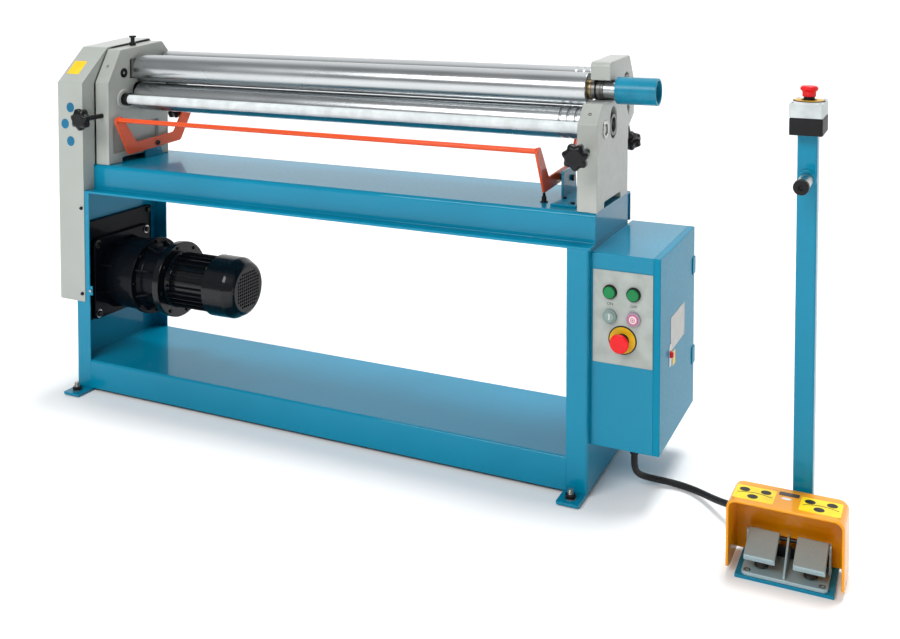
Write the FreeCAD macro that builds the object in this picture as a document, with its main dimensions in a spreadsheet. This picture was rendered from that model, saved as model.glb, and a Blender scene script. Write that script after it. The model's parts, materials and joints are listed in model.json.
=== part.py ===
import FreeCAD, Part
import math
import os

import Sketcher

# Powered three-roll slip roll machine for thin sheet, with its foot pedal stand.
# X runs along the rolls to the right, -Y faces the operator, Z is up from the floor.
# The origin is the middle of the four levelling screws, on the floor.

DRIVING = {
    # stand, folded from sheet
    "stand_length": 1410, "stand_depth": 305, "leg_width": 47, "leg_sheet": 3, "lip_height": 525,
    "table_height": 594, "table_sheet": 5, "fascia_setback": 37, "table_over": 7, "table_out": 3,
    "shelf_height": 82, "foot_width": 50, "foot_reach": 52, "foot_plate": 6, "foot_lap": 8,
    "screw_out": 28, "screw_side": 27, "screw_stick": 3, "screw_rise": 30, "screw_rad": 7,
    "screw_fit": 0.3, "nut_rad": 12, "nut_tall": 10,
    # cast housings
    "housing_inset": 80, "roll_gap": 1290, "housing_thick": 45, "housing_setback": 42,
    "chin_left": 218, "chin_right": 187, "brow_depth": 48, "brow_rise": 303, "crown_depth": 215,
    "crown_rise": 318, "lobe_depth": 322, "lobe_rise": 196, "lobe_low": 174, "waist_rise": 126,
    "base_depth": 236, "arch_from": 52, "arch_to": 178, "arch_tall": 14, "ledge_depth": 38,
    "jaw_depth": 92, "jaw_rise": 312, "pin_drop": 120, "shoulder_depth": 240, "shoulder_rise": 262,
    "crown_right": 247,
    "recess_from": 18, "recess_to": 196, "recess_low": 28, "recess_high": 102, "recess_cut": 9,
    # rolls
    "roll_rad": 37, "roll_play": 10, "neck_rad": 18.5, "roll_depth": 120, "lower_rise": 173,
    "upper_rise": 249, "run_fit": 0.05, "block_fit": 0.3, "groove_first": 20, "groove_pitch": 18.5,
    "groove_count": 3, "groove_wide": 5, "groove_deep": 2.5, "window_wide": 70, "window_tall": 52,
    "pivot_rad": 24, "pin_rad": 5, "journal_rad": 16.5, "pin_grip": 5, "bush_rad": 22.5,
    "bush_long": 35, "mouth_play": 0.5, "block_rad": 24, "block_play": 0.5, "lower_travel": 16,
    "lower_drop": 5, "bore_cap": 10, "rear_depth": 226, "rear_rise": 252, "rear_tilt": 30,
    "rear_up": 5, "rear_down": 62, "sleeve_rad": 30, "sleeve_wall": 5, "sleeve_gap": 8,
    "sleeve_long": 92, "sleeve_web": 12,
    # front tie rod
    "tie_rad": 12.5, "tie_depth": 58, "tie_rise": 170, "tie_boss_rad": 27, "tie_boss_long": 5,
    "tie_collar_rad": 17, "tie_collar_long": 17, "tie_ring_rad": 19.5, "tie_ring_long": 2,
    "tie_socket_rad": 7, "tie_socket_deep": 9,
    # hand knobs
    "knob_rad": 23, "knob_lobe": 6, "knob_thick": 26, "knob_hub": 12, "knob_boss": 9,
    "knob_lobes": 7, "stem_rad": 6.5, "front_knob_rise": 130, "front_knob_reach": 63,
    "stem_grip": 30, "stem_fit": 0.08, "rear_knob_out": 28, "rear_knob_reach": 152, "cap_rad": 9.5,
    "cap_thick": 5, "cap_stem_rad": 5.5, "cap_stem_long": 12, "cap_foot_rad": 9, "cap_foot_long": 9,
    "cap_rise": 1,
    # drive
    "chain_out": 95, "sprocket_large": 40, "sprocket_small": 26, "sprocket_wide": 8, "tooth_rad": 4,
    "tooth_count": 16, "hub_rad": 22, "hub_long": 40, "hub_short": 9, "shaft_rad": 14,
    "shaft_play": 2, "chain_fit": 0.4, "chain_play": 2, "chain_slack": 2, "chain_thick": 8,
    "chain_wide": 14, "motor_depth": 106, "motor_height": 282, "plate_from": -36, "plate_wide": 270,
    "plate_low": 172, "plate_tall": 266, "plate_thick": 12, "gear_rad": 95, "gear_long": 119,
    "gear_foot": 216, "gear_foot_thick": 13, "ring_rad": 102, "ring_thick": 12, "drum_rad": 80,
    "drum_long": 66, "flange_rad": 100, "flange_thick": 20, "motor_rad": 64, "motor_long": 129,
    "fin_count": 28, "fin_tall": 9, "fin_thick": 3.5, "cowl_rad": 79, "cowl_wall": 2,
    "cowl_long": 91, "cowl_lap": 6, "cowl_edge": 12, "cowl_play": 0.3, "grille_rad": 54,
    "grille_hole": 3.5, "grille_pitch": 11, "fan_rad": 60, "fan_thick": 22, "fan_gap": 34,
    "fan_shaft": 8, "fan_grip": 20,
    "junction_in": 32, "junction_wide": 50, "junction_deep": 60, "junction_tall": 30,
    # gear cover
    "cover_out": 134, "cover_in": 47, "cover_lead": 44, "cover_wall": 2, "cover_bottom": 236,
    "cover_brow_depth": 50, "cover_brow": 902, "cover_crown": 918, "cover_crown_depth": 215,
    "cover_back": 250, "cover_back_high": 880, "cover_chin": 813, "cover_screw_rad": 4.5,
    "cover_screw_high": 484, "cover_screw_low": 257, "cover_screw_in": 8, "cover_bolt_rad": 2.5,
    "cover_head": 6, "flap_gap": 0.5,
    # trip frame
    "arm_gap": 12, "arm_thick": 5, "arm_span": 1180, "arm_scale": 1, "arm_bar": 6,
    "trip_depth": 171, "trip_height": 632, "trip_pin": 5, "trip_fit": 0.08, "bracket_thick": 5,
    "bracket_gap": 6, "bracket_stand": 21, "bracket_fore": 62, "bracket_half": 35,
    "bracket_low": 14, "bracket_ear": 24, "bracket_foot": 56, "foot_fore": 78, "pivot_step": 8,
    "pivot_clear": 0.3, "pivot_head": 7, "pivot_head_long": 5, "plunger_depth": 62,
    "plunger_rad": 4, "plunger_long": 11, "plunger_top": 20.4, "switch_half": 9, "switch_tall": 13,
    "switch_floor": 2,
    # control cabinet
    "cabinet_wide": 147, "cabinet_deep": 320, "cabinet_drop": 7, "cabinet_low": 109,
    "cabinet_back": 19, "cabinet_sheet": 2, "door_thick": 14, "door_fit": 0.3, "hinge_rad": 6,
    "hinge_tall": 40, "hinge_pin": 2.5, "hinge_leaf": 10, "hinge_low": 93, "hinge_high": 301,
    "lock_depth": 87, "lock_rad": 6, "lock_long": 8, "lock_rise": 186, "panel_wide": 127,
    "panel_tall": 195, "panel_thick": 2, "panel_in": 5, "panel_drop": 34, "column_one": 37,
    "column_two": 87, "lamp_row": 151, "button_row": 100, "stop_across": 64, "stop_rise": 53,
    "lamp_rad": 15, "lamp_long": 11, "button_rad": 11, "bezel_rad": 15, "bezel_long": 7,
    "button_long": 14, "button_proud": 1.5, "button_fit": 0.3, "stop_ring_rad": 30, "stop_rad": 20,
    "stop_long": 16, "stop_travel": 5, "stop_neck_rad": 10, "stop_neck_long": 20,
    "stop_collar_rad": 14, "stop_collar_long": 8,
    # control cable and pedal unit
    "cable_rad": 7, "gland_rad": 13, "gland_cap": 11, "gland_nut": 9, "gland_long": 20,
    "pedal_away": 416, "pedal_ahead": 160, "base_wide": 172, "base_deep": 187, "base_thick": 6,
    "casting_wide": 150, "casting_deep": 84, "casting_in": 2, "casting_thick": 7, "casting_hole": 4,
    "hole_in": 10, "rib_thick": 4, "rib_low": 4, "ear_thick": 4, "ear_half": 8, "pedal_wide": 55,
    "pedal_long": 72, "pedal_thick": 8, "pedal_spread": 43, "pedal_pivot": 74, "pedal_axis": 46,
    "pedal_tilt": 16, "pedal_lift": 13, "hub_small": 8, "pedal_pin": 4, "pedal_fit": 0.1,
    "spring_rad": 9, "spring_bore": 6, "spring_tall": 20, "spring_in": 30, "hood_wide": 205,
    "hood_shift": -0.5, "hood_depth": 102, "hood_lead": 5, "hood_tall": 134, "hood_rise": 6,
    "hood_wall": 5, "hood_toe": 4, "hood_lift": 14, "hood_heel": 6, "post_shift": 18.5,
    "post_wide": 35, "post_wall": 2, "post_back": 8, "post_tall": 797, "stub_rad": 12.5,
    "stub_flange": 18, "stub_flange_long": 5, "stub_reach": 92, "stub_height": 719, "stub_cap": 14,
    "stub_cap_long": 14, "station_wide": 59, "station_deep": 98, "station_low": 30,
    "station_high": 29, "station_ring": 29, "station_disc": 3, "station_head_rad": 16,
    "station_head_long": 20,
}

doc = FreeCAD.newDocument("SlipRoll")
sheet = doc.addObject("Spreadsheet::Sheet", "Sizes")
for row, (alias, number) in enumerate(DRIVING.items(), start=1):
    sheet.set(f"A{row}", alias)
    sheet.set(f"B{row}", str(number))
    sheet.setAlias(f"B{row}", alias)
doc.recompute()


class Size:
    """A length that knows its number and the expression that binds it to the sheet."""

    def __init__(self, number, text):
        self.number = number
        self.text = text

    def __add__(self, other):
        other = size(other)
        return Size(self.number + other.number, f"({self.text} + {other.text})")

    def __sub__(self, other):
        other = size(other)
        return Size(self.number - other.number, f"({self.text} - {other.text})")

    def __mul__(self, other):
        other = size(other)
        return Size(self.number * other.number, f"({self.text} * {other.text})")

    def __truediv__(self, other):
        other = size(other)
        return Size(self.number / other.number, f"({self.text} / {other.text})")

    def __neg__(self):
        return size(0) - self

    def __radd__(self, other):
        return size(other) + self

    def __rsub__(self, other):
        return size(other) - self

    def __rmul__(self, other):
        return size(other) * self


def size(value):
    if isinstance(value, Size):
        return value
    return Size(float(value), f"({float(value)})")


def sine(angle):
    return Size(math.sin(math.radians(angle.number)), f"sin({angle.text} * 1 deg)")


def cosine(angle):
    return Size(math.cos(math.radians(angle.number)), f"cos({angle.text} * 1 deg)")


class Driving:
    """Named sizes of the sheet, read back as numbers and bound as expressions."""

    def __getattr__(self, alias):
        return Size(float(getattr(sheet, alias)), f"<<Sizes>>.{alias}")


D = Driving()


def bind(thing, **properties):
    for name, value in properties.items():
        value = size(value)
        setattr(thing, name, value.number)
        thing.setExpression(name, value.text)
    return thing


def place(thing, at, turn=None):
    """Put a thing at a point; turn is an axis and an angle in degrees."""
    at = [size(value) for value in at]
    spin = FreeCAD.Rotation()
    if turn:
        spin = FreeCAD.Rotation(FreeCAD.Vector(*turn[0]), size(turn[1]).number)
    thing.Placement = FreeCAD.Placement(FreeCAD.Vector(*[value.number for value in at]), spin)
    for axis, value in zip("xyz", at):
        thing.setExpression(f"Placement.Base.{axis}", value.text)
    if turn and isinstance(turn[1], Size):
        thing.setExpression("Placement.Rotation.Angle", f"({turn[1].text}) * 1 deg")
    return thing


def box(name, low, high):
    """A block between two corners."""
    low = [size(value) for value in low]
    high = [size(value) for value in high]
    block = doc.addObject("Part::Box", name)
    bind(block, Length=high[0] - low[0], Width=high[1] - low[1], Height=high[2] - low[2])
    return place(block, low)


TURNS = {"Z": None, "X": ((0, 1, 0), 90), "-X": ((0, 1, 0), -90), "-Y": ((1, 0, 0), 90),
         "Y": ((1, 0, 0), -90)}


def rod(name, radius, length, at, axis="Z", turn=None):
    """A cylinder from a point along an axis."""
    bar = doc.addObject("Part::Cylinder", name)
    bind(bar, Radius=radius, Height=length)
    return place(bar, at, turn or TURNS[axis])


def cone(name, first, second, length, at, axis="Z"):
    taper = doc.addObject("Part::Cone", name)
    bind(taper, Radius1=first, Radius2=second, Height=length)
    return place(taper, at, TURNS[axis])


def plus(name, *things):
    union = doc.addObject("Part::MultiFuse", name)
    union.Shapes = list(things)
    union.Refine = True
    return union


def minus(name, base, *tools):
    tool = tools[0] if len(tools) == 1 else plus(name + "Tools", *tools)
    result = doc.addObject("Part::Cut", name)
    result.Base = base
    result.Tool = tool
    result.Refine = True
    return result


def common(name, first, second):
    result = doc.addObject("Part::Common", name)
    result.Base = first
    result.Tool = second
    return result


def tube(name, outer, inner, length, at, axis="Z"):
    return minus(name, rod(name + "Outer", outer, length, at, axis),
                 rod(name + "Bore", inner, length, at, axis))


def outline(sketch, points):
    """Close a polygon whose corners are each held by two bound distances."""
    count = len(points)
    spots = [FreeCAD.Vector(size(u).number, size(v).number, 0) for u, v in points]
    first = sketch.GeometryCount
    for index in range(count):
        sketch.addGeometry(Part.LineSegment(spots[index], spots[(index + 1) % count]), False)
    for index in range(count):
        sketch.addConstraint(Sketcher.Constraint("Coincident", first + index, 2,
                                               first + (index + 1) % count, 1))
    for index, (u, v) in enumerate(points):
        for kind, value in (("DistanceX", size(u)), ("DistanceY", size(v))):
            number = sketch.addConstraint(
                Sketcher.Constraint(kind, -1, 1, first + index, 1, value.number))
            sketch.setExpression(f"Constraints[{number}]", value.text)


def sketched(name, plane, points, holes=()):
    """A PartDesign body with one sketch on an origin plane of its own."""
    body = doc.addObject("PartDesign::Body", name)
    sketch = body.newObject("Sketcher::SketchObject", name + "Sketch")
    origin = [item for item in body.Origin.OriginFeatures if item.Role == plane][0]
    sketch.AttachmentSupport = [(origin, "")]
    sketch.MapMode = "FlatFace"
    outline(sketch, points)
    for u, v, radius in holes:
        u, v, radius = size(u), size(v), size(radius)
        ring = sketch.addGeometry(Part.Circle(FreeCAD.Vector(u.number, v.number, 0),
                                              FreeCAD.Vector(0, 0, 1), radius.number), False)
        for kind, value in (("DistanceX", u), ("DistanceY", v)):
            number = sketch.addConstraint(
                Sketcher.Constraint(kind, -1, 1, ring, 3, value.number))
            sketch.setExpression(f"Constraints[{number}]", value.text)
        number = sketch.addConstraint(Sketcher.Constraint("Radius", ring, radius.number))
        sketch.setExpression(f"Constraints[{number}]", radius.text)
    return body, sketch


def slab(name, plane, points, thickness, at, holes=()):
    """A plate: a polygon padded along its plane's normal."""
    body, sketch = sketched(name, plane, points, holes)
    pad = body.newObject("PartDesign::Pad", name + "Pad")
    pad.Profile = sketch
    bind(pad, Length=thickness)
    body.Tip = pad
    return place(body, at)


def turned(name, profile, at, turn=None):
    """A turned piece along X: (distance along, radius) corners of half its section."""
    body, sketch = sketched(name, "XY_Plane", profile)
    spin = body.newObject("PartDesign::Revolution", name + "Turning")
    spin.Profile = sketch
    spin.ReferenceAxis = (sketch, ["H_Axis"])
    spin.Angle = 360
    body.Tip = spin
    return place(body, at, turn)


pieces = []


def piece(label, thing):
    """Name a finished sub-part; its label is also its file's name."""
    thing.Label = label
    pieces.append(thing)
    return thing


def gather(label, *things):
    """One sub-part made of several equal, separate solids."""
    bunch = doc.addObject("Part::Compound", label)
    bunch.Links = list(things)
    return piece(label, bunch)


def stadium(name, radius, length, x, first, second, lean):
    """A long hole along X, round at both ends, between two (y, z) centres."""
    across = sine(lean) * radius
    along = cosine(lean) * radius
    corners = [(first[0] + along, first[1] + across), (second[0] + along, second[1] + across),
               (second[0] - along, second[1] - across), (first[0] - along, first[1] - across)]
    return plus(name, rod(name + "Head", radius, length, (x, first[0], first[1]), "X"),
                rod(name + "Tail", radius, length, (x, second[0], second[1]), "X"),
                slab(name + "Waist", "YZ_Plane", corners, length, (x, 0, 0)))


def hexagon(name, radius, length, at, turn=None):
    nut = doc.addObject("Part::Prism", name)
    nut.Polygon = 6
    bind(nut, Circumradius=radius, Height=length)
    return place(nut, at, turn)


# Planes and axes that everything is measured from
left = -D.stand_length / 2
right = D.stand_length / 2
front = -D.stand_depth / 2
back = D.stand_depth / 2
top = D.table_height
inner = left + D.housing_inset
far = inner + D.roll_gap
face = front + D.housing_setback
roll_y = face + D.roll_depth
lower_z = top + D.lower_rise
upper_z = top + D.upper_rise
rear_y = face + D.rear_depth
rear_z = top + D.rear_rise
down_y = sine(D.rear_tilt)
down_z = -cosine(D.rear_tilt)
plate_top = D.screw_stick + D.foot_plate
OVER = 1

# Stand: two channel legs that open inwards, a folded table and a folded shelf
for side, label in ((-1, "leg_left"), (1, "leg_right")):
    outer_x = left if side < 0 else right - D.leg_width
    hollow_x = left + D.leg_sheet if side < 0 else right - D.leg_width - OVER
    channel = box(label + "Outer", (outer_x, front, plate_top),
                  (outer_x + D.leg_width, back, D.lip_height))
    hollow = box(label + "Hollow", (hollow_x, front + D.leg_sheet, plate_top - OVER),
                 (hollow_x + D.leg_width - D.leg_sheet + OVER, back - D.leg_sheet,
                  D.lip_height + OVER))
    cuts = [hollow]
    if side < 0:
        cuts.append(rod(label + "ShaftHole", D.shaft_rad + D.shaft_play, D.leg_sheet + OVER * 2,
                        (left - OVER, face + D.motor_depth, D.motor_height), "X"))
    piece(label, minus(label, channel, *cuts))

table_front = front + D.fascia_setback
table_back = back + D.table_over
table_right = right + D.table_out
skin = D.table_sheet
piece("table", plus(
    "table",
    box("tableTop", (left, table_front, top - skin), (table_right, table_back, top)),
    box("tableFascia", (left, table_front, D.lip_height), (table_right, table_front + skin, top)),
    box("tableLip", (left, front, D.lip_height), (right, table_front + skin, D.lip_height + skin)),
    box("tableBack", (left, table_back - skin, D.lip_height), (table_right, table_back, top)),
    box("tableLeft", (left, table_front, D.lip_height), (left + skin, table_back, top)),
    box("tableRight", (right - skin, table_front, D.lip_height), (table_right, table_back, top))))

shelf_low = plate_top
shelf_from = left + D.leg_width
shelf_to = right - D.leg_width
piece("shelf", plus(
    "shelf",
    box("shelfTop", (left + D.leg_sheet, front + D.leg_sheet, D.shelf_height - D.leg_sheet),
        (right - D.leg_sheet, back - D.leg_sheet, D.shelf_height)),
    box("shelfFront", (shelf_from, front, shelf_low),
        (shelf_to, front + D.leg_sheet, D.shelf_height)),
    box("shelfBack", (shelf_from, back - D.leg_sheet, shelf_low),
        (shelf_to, back, D.shelf_height))))

plates = []
screws = []
for index, (sx, sy) in enumerate(((-1, -1), (1, -1), (-1, 1), (1, 1))):
    spot_x = left + D.screw_side if sx < 0 else right - D.screw_side
    spot_y = front - D.screw_out if sy < 0 else back + D.screw_out
    low_y = front - D.foot_reach if sy < 0 else back - D.foot_lap
    plate = box(f"footBlank{index}", (spot_x - D.foot_width / 2, low_y, D.screw_stick),
                (spot_x + D.foot_width / 2, low_y + D.foot_reach + D.foot_lap, plate_top))
    plates.append(minus(f"foot{index}", plate, rod(
        f"footHole{index}", D.screw_rad + D.screw_fit, D.foot_plate + OVER * 2,
        (spot_x, spot_y, D.screw_stick - OVER))))
    screws.append(plus(
        f"leveller{index}",
        rod(f"levellerShank{index}", D.screw_rad, D.screw_rise, (spot_x, spot_y, 0)),
        hexagon(f"levellerNut{index}", D.nut_rad, D.nut_tall, (spot_x, spot_y, plate_top))))
gather("foot_plates", *plates)
gather("levelling_screws", *screws)

# Housings: flat castings on the table, slotted for the bearing blocks of the rolls
waist = [(face + D.lobe_depth, top + D.lobe_rise), (face + D.lobe_depth, top + D.lobe_low),
         (face + D.base_depth, top + D.waist_rise), (face + D.base_depth, top)]
rear_top = (rear_y - down_y * D.rear_up, rear_z - down_z * D.rear_up)
rear_low = (rear_y + down_y * D.rear_down, rear_z + down_z * D.rear_down)
slot_rad = D.block_rad + D.block_play
hole_long = D.housing_thick + OVER * 2
slot_mouth = D.bush_rad + D.mouth_play
for side, label in ((-1, "housing_left"), (1, "housing_right")):
    near_x = inner - D.housing_thick if side < 0 else far
    start_x = near_x - OVER
    middle_x = near_x + D.housing_thick / 2
    if side < 0:
        outline_points = [(face, top), (face, top + D.chin_left),
                          (face + D.brow_depth, top + D.brow_rise),
                          (face + D.crown_depth, top + D.crown_rise)] + waist
    else:
        outline_points = [(face, top), (face, top + D.chin_right),
                          (face + D.ledge_depth, upper_z - slot_mouth),
                          (roll_y, upper_z - slot_mouth), (roll_y, upper_z + slot_mouth),
                          (face + D.jaw_depth, upper_z + slot_mouth),
                          (face + D.jaw_depth, top + D.jaw_rise),
                          (face + D.crown_right, top + D.crown_rise)] + waist
    cast = slab(label + "Casting", "YZ_Plane", outline_points, D.housing_thick, (near_x, 0, 0))
    cuts = [
        box(label + "Arch", (start_x, face + D.arch_from, top - OVER),
            (start_x + hole_long, face + D.arch_to, top + D.arch_tall)),
        stadium(label + "LowerSlot", slot_rad, hole_long, start_x, (roll_y, lower_z - D.lower_drop),
                (roll_y, lower_z + D.lower_travel), size(0)),
        stadium(label + "RearSlot", slot_rad, hole_long, start_x, rear_top, rear_low,
                D.rear_tilt),
        rod(label + "TieHole", D.tie_rad, hole_long,
            (start_x, face + D.tie_depth, top + D.tie_rise), "X"),
        rod(label + "FrontStem", D.stem_rad + D.stem_fit, D.stem_grip + OVER,
            (middle_x, face + D.stem_grip, top + D.front_knob_rise), "-Y"),
    ]
    stem_x = inner - D.rear_knob_out if side < 0 else far + D.rear_knob_out
    cuts.append(rod(label + "RearStem", D.stem_rad + D.stem_fit, D.rear_knob_reach,
                    (stem_x, rear_y, rear_z), turn=((1, 0, 0), 180 + D.rear_tilt)))
    pocket_x = inner - D.recess_cut if side < 0 else far
    cuts.append(box(label + "Pocket",
                    (pocket_x - OVER * (side > 0), face + D.recess_from, top + D.recess_low),
                    (pocket_x + D.recess_cut + OVER * (side < 0), face + D.recess_to,
                     top + D.recess_high)))
    if side < 0:
        half = D.window_wide / 2
        cuts.append(box(label + "Window",
                        (start_x, roll_y - half, upper_z - D.window_tall / 2),
                        (start_x + hole_long, roll_y + half, upper_z + D.window_tall / 2)))
        cuts.append(rod(label + "PinHole", D.pin_rad + D.run_fit, D.pin_drop,
                        (middle_x, roll_y, upper_z - D.window_tall / 2 - D.pin_grip)))
    else:
        cuts.append(rod(label + "Mouth", slot_mouth, hole_long, (start_x, roll_y, upper_z), "X"))
        cuts.append(slab(label + "Shoulder", "YZ_Plane", [
            (face + D.shoulder_depth, top + D.waist_rise - OVER),
            (face + D.shoulder_depth, top + D.shoulder_rise),
            (face + D.lobe_depth + OVER, top + D.shoulder_rise),
            (face + D.lobe_depth + OVER, top + D.waist_rise - OVER)],
            D.recess_cut, (far + D.housing_thick - D.recess_cut, 0, 0)))
    piece(label, minus(label, cast, *cuts))

# Rolls: ground bars with a neck at each end, wire grooves at the right end of two of them
body_from = inner + D.roll_play
body_to = far - D.roll_play


def roll(label, y, z, neck_from, neck_to, neck, grooved):
    profile = [(neck_from, 0), (neck_from, neck), (body_from, neck), (body_from, D.roll_rad)]
    if grooved:
        for index in reversed(range(int(D.groove_count.number))):
            edge = body_to - D.groove_first - D.groove_pitch * index
            profile += [(edge - D.groove_wide, D.roll_rad),
                        (edge - D.groove_wide, D.roll_rad - D.groove_deep),
                        (edge, D.roll_rad - D.groove_deep), (edge, D.roll_rad)]
    profile += [(body_to, D.roll_rad), (body_to, neck), (neck_to, neck), (neck_to, 0)]
    return piece(label, turned(label, profile, (0, y, z)))


sleeve_x = far + D.housing_thick + D.sleeve_gap
end_left = inner - D.housing_thick + D.bore_cap
end_right = far + D.housing_thick - D.bore_cap
chain_x = inner - D.chain_out
pivot_x = inner - D.housing_thick / 2
roll("roll_upper", roll_y, upper_z, pivot_x - D.pivot_rad + OVER, sleeve_x + D.sleeve_web,
     D.neck_rad, False)
roll("roll_lower", roll_y, lower_z, chain_x - D.sprocket_wide, end_right, D.journal_rad, True)
roll("roll_rear", rear_y, rear_z, end_left, end_right, D.journal_rad, True)

# Left end of the upper roll turns about an upright pin so that the roll can swing out
block_low = upper_z - D.window_tall / 2 + D.block_fit
swing_body = plus("swingBody",
                  rod("swingDrum", D.pivot_rad, D.window_tall - D.block_fit * 2,
                      (pivot_x, roll_y, block_low)),
                  rod("swingFoot", D.pin_rad, D.pin_grip + D.block_fit,
                      (pivot_x, roll_y, block_low - D.pin_grip - D.block_fit)))
piece("swing_block", minus(
    "swing_block", swing_body,
    rod("swingBore", D.neck_rad + D.run_fit, D.pivot_rad * 2 + OVER * 2,
        (pivot_x - D.pivot_rad - OVER, roll_y, upper_z), "X"),
    rod("swingSocket", D.pin_rad + D.run_fit, D.pin_grip + OVER,
        (pivot_x, roll_y, upper_z + D.window_tall / 2 - D.block_fit - D.pin_grip))))
crown_z = top + D.brow_rise + (D.crown_rise - D.brow_rise) * (
    (D.roll_depth - D.brow_depth) / (D.crown_depth - D.brow_depth))
pin_low = upper_z + D.window_tall / 2 - D.pin_grip
piece("swing_pin", plus(
    "swing_pin",
    rod("pinShank", D.pin_rad, crown_z - pin_low + D.cap_foot_long, (pivot_x, roll_y, pin_low)),
    rod("pinFoot", D.cap_foot_rad, D.cap_foot_long, (pivot_x, roll_y, crown_z + D.cap_rise)),
    rod("pinStem", D.cap_stem_rad, D.cap_stem_long + D.cap_thick,
        (pivot_x, roll_y, crown_z + D.cap_rise + D.cap_foot_long)),
    rod("pinCap", D.cap_rad, D.cap_thick,
        (pivot_x, roll_y, crown_z + D.cap_rise + D.cap_foot_long + D.cap_stem_long))))

# Right end of the upper roll lies in the open mouth on a bush and carries the sleeve
bush_bore = D.neck_rad + D.run_fit
piece("swing_bush", tube("swing_bush", D.bush_rad, bush_bore, D.bush_long,
                         (body_to, roll_y, upper_z), "X"))
sleeve_shell = tube("sleeveShell", D.sleeve_rad, D.sleeve_rad - D.sleeve_wall, D.sleeve_long,
                    (sleeve_x, roll_y, upper_z), "X")
sleeve_web = tube("sleeveWeb", D.sleeve_rad, D.neck_rad + D.run_fit, D.sleeve_web,
                  (sleeve_x, roll_y, upper_z), "X")
piece("sleeve", plus("sleeve", sleeve_shell, sleeve_web))

# Bearing blocks of the lower and rear rolls slide in the slots of the housings
for label, y, z in (("lower_blocks", roll_y, lower_z), ("rear_blocks", rear_y, rear_z)):
    gather(label, *[tube(f"{label}{index}", D.block_rad, D.journal_rad + D.run_fit,
                         D.housing_thick, (x, y, z), "X")
                    for index, x in enumerate((inner - D.housing_thick, far))])

# Front tie rod through both housings, with its collar and end ring
tie_y = face + D.tie_depth
tie_z = top + D.tie_rise
tie_end = far + D.housing_thick
tie_bar = rod("tieBar", D.tie_rad, tie_end - inner + D.housing_thick,
              (inner - D.housing_thick, tie_y, tie_z), "X")
piece("tie_rod", minus("tie_rod", tie_bar, rod(
    "tieSocket", D.tie_socket_rad, D.tie_socket_deep + OVER,
    (tie_end - D.tie_socket_deep, tie_y, tie_z), "X")))
gather("tie_collars",
       plus("tieCollar",
            tube("tieBoss", D.tie_boss_rad, D.tie_rad, D.tie_boss_long, (inner, tie_y, tie_z), "X"),
            tube("tieNut", D.tie_collar_rad, D.tie_rad, D.tie_collar_long,
                 (inner + D.tie_boss_long, tie_y, tie_z), "X")),
       tube("tieRing", D.tie_ring_rad, D.tie_rad, D.tie_ring_long, (tie_end, tie_y, tie_z), "X"))


def knob(label, stem_long, at, turn):
    """A lobed hand knob on its screw: the screw's tip at the point, the knob at its far end."""
    parts = [rod(label + "Screw", D.stem_rad, stem_long, (0, 0, 0)),
             rod(label + "Hub", D.knob_hub, D.knob_boss, (0, 0, stem_long - D.knob_boss)),
             rod(label + "Disc", D.knob_rad, D.knob_thick, (0, 0, stem_long))]
    count = int(D.knob_lobes.number)
    for index in range(count):
        bearing = 2 * math.pi * index / count
        parts.append(rod(f"{label}Lobe{index}", D.knob_lobe, D.knob_thick,
                         (D.knob_rad * math.cos(bearing), D.knob_rad * math.sin(bearing),
                          stem_long)))
    whole = plus(label, *parts)
    return piece(label, place(whole, at, turn))


stem_z = top + D.front_knob_rise
for label, x in (("front_knob_left", pivot_x), ("front_knob_right", far + D.housing_thick / 2)):
    knob(label, D.stem_grip + D.front_knob_reach, (x, face + D.stem_grip, stem_z),
         ((1, 0, 0), 90))
tip = D.block_rad + D.block_fit
for label, x in (("rear_knob_left", inner - D.rear_knob_out),
                 ("rear_knob_right", far + D.rear_knob_out)):
    knob(label, D.rear_knob_reach - tip, (x, rear_y + down_y * tip, rear_z + down_z * tip),
         ((1, 0, 0), D.rear_tilt + 180))

# Drive inside the cover: a small sprocket on the gearbox turns the lower roll by a chain
motor_y = face + D.motor_depth
motor_z = D.motor_height
sprocket_from = chain_x - D.sprocket_wide / 2
web_inner = left + D.leg_sheet


def sprocket(label, radius, bore, hub_to, y, z):
    count = int(D.tooth_count.number)
    rim = radius - D.tooth_rad
    parts = [rod(label + "Disc", rim, D.sprocket_wide, (sprocket_from, y, z), "X")]
    for index in range(count):
        bearing = 2 * math.pi * index / count
        parts.append(rod(f"{label}Tooth{index}", D.tooth_rad, D.sprocket_wide,
                         (sprocket_from, y + rim * math.cos(bearing),
                          z + rim * math.sin(bearing)), "X"))
    parts.append(rod(label + "Hub", D.hub_rad, hub_to - sprocket_from, (sprocket_from, y, z), "X"))
    if bore is None:
        return piece(label, plus(label, *parts, rod(
            label + "Shaft", D.shaft_rad, web_inner + D.plate_thick - sprocket_from,
            (sprocket_from, y, z), "X")))
    return piece(label, minus(label, plus(label + "Blank", *parts), rod(
        label + "Bore", bore, D.housing_inset, (sprocket_from - OVER, y, z), "X")))


sprocket("lower_sprocket", D.sprocket_large, D.journal_rad, chain_x + D.hub_long, roll_y, lower_z)
sprocket("motor_sprocket", D.sprocket_small, None, chain_x + D.hub_short, motor_y, motor_z)


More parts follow.
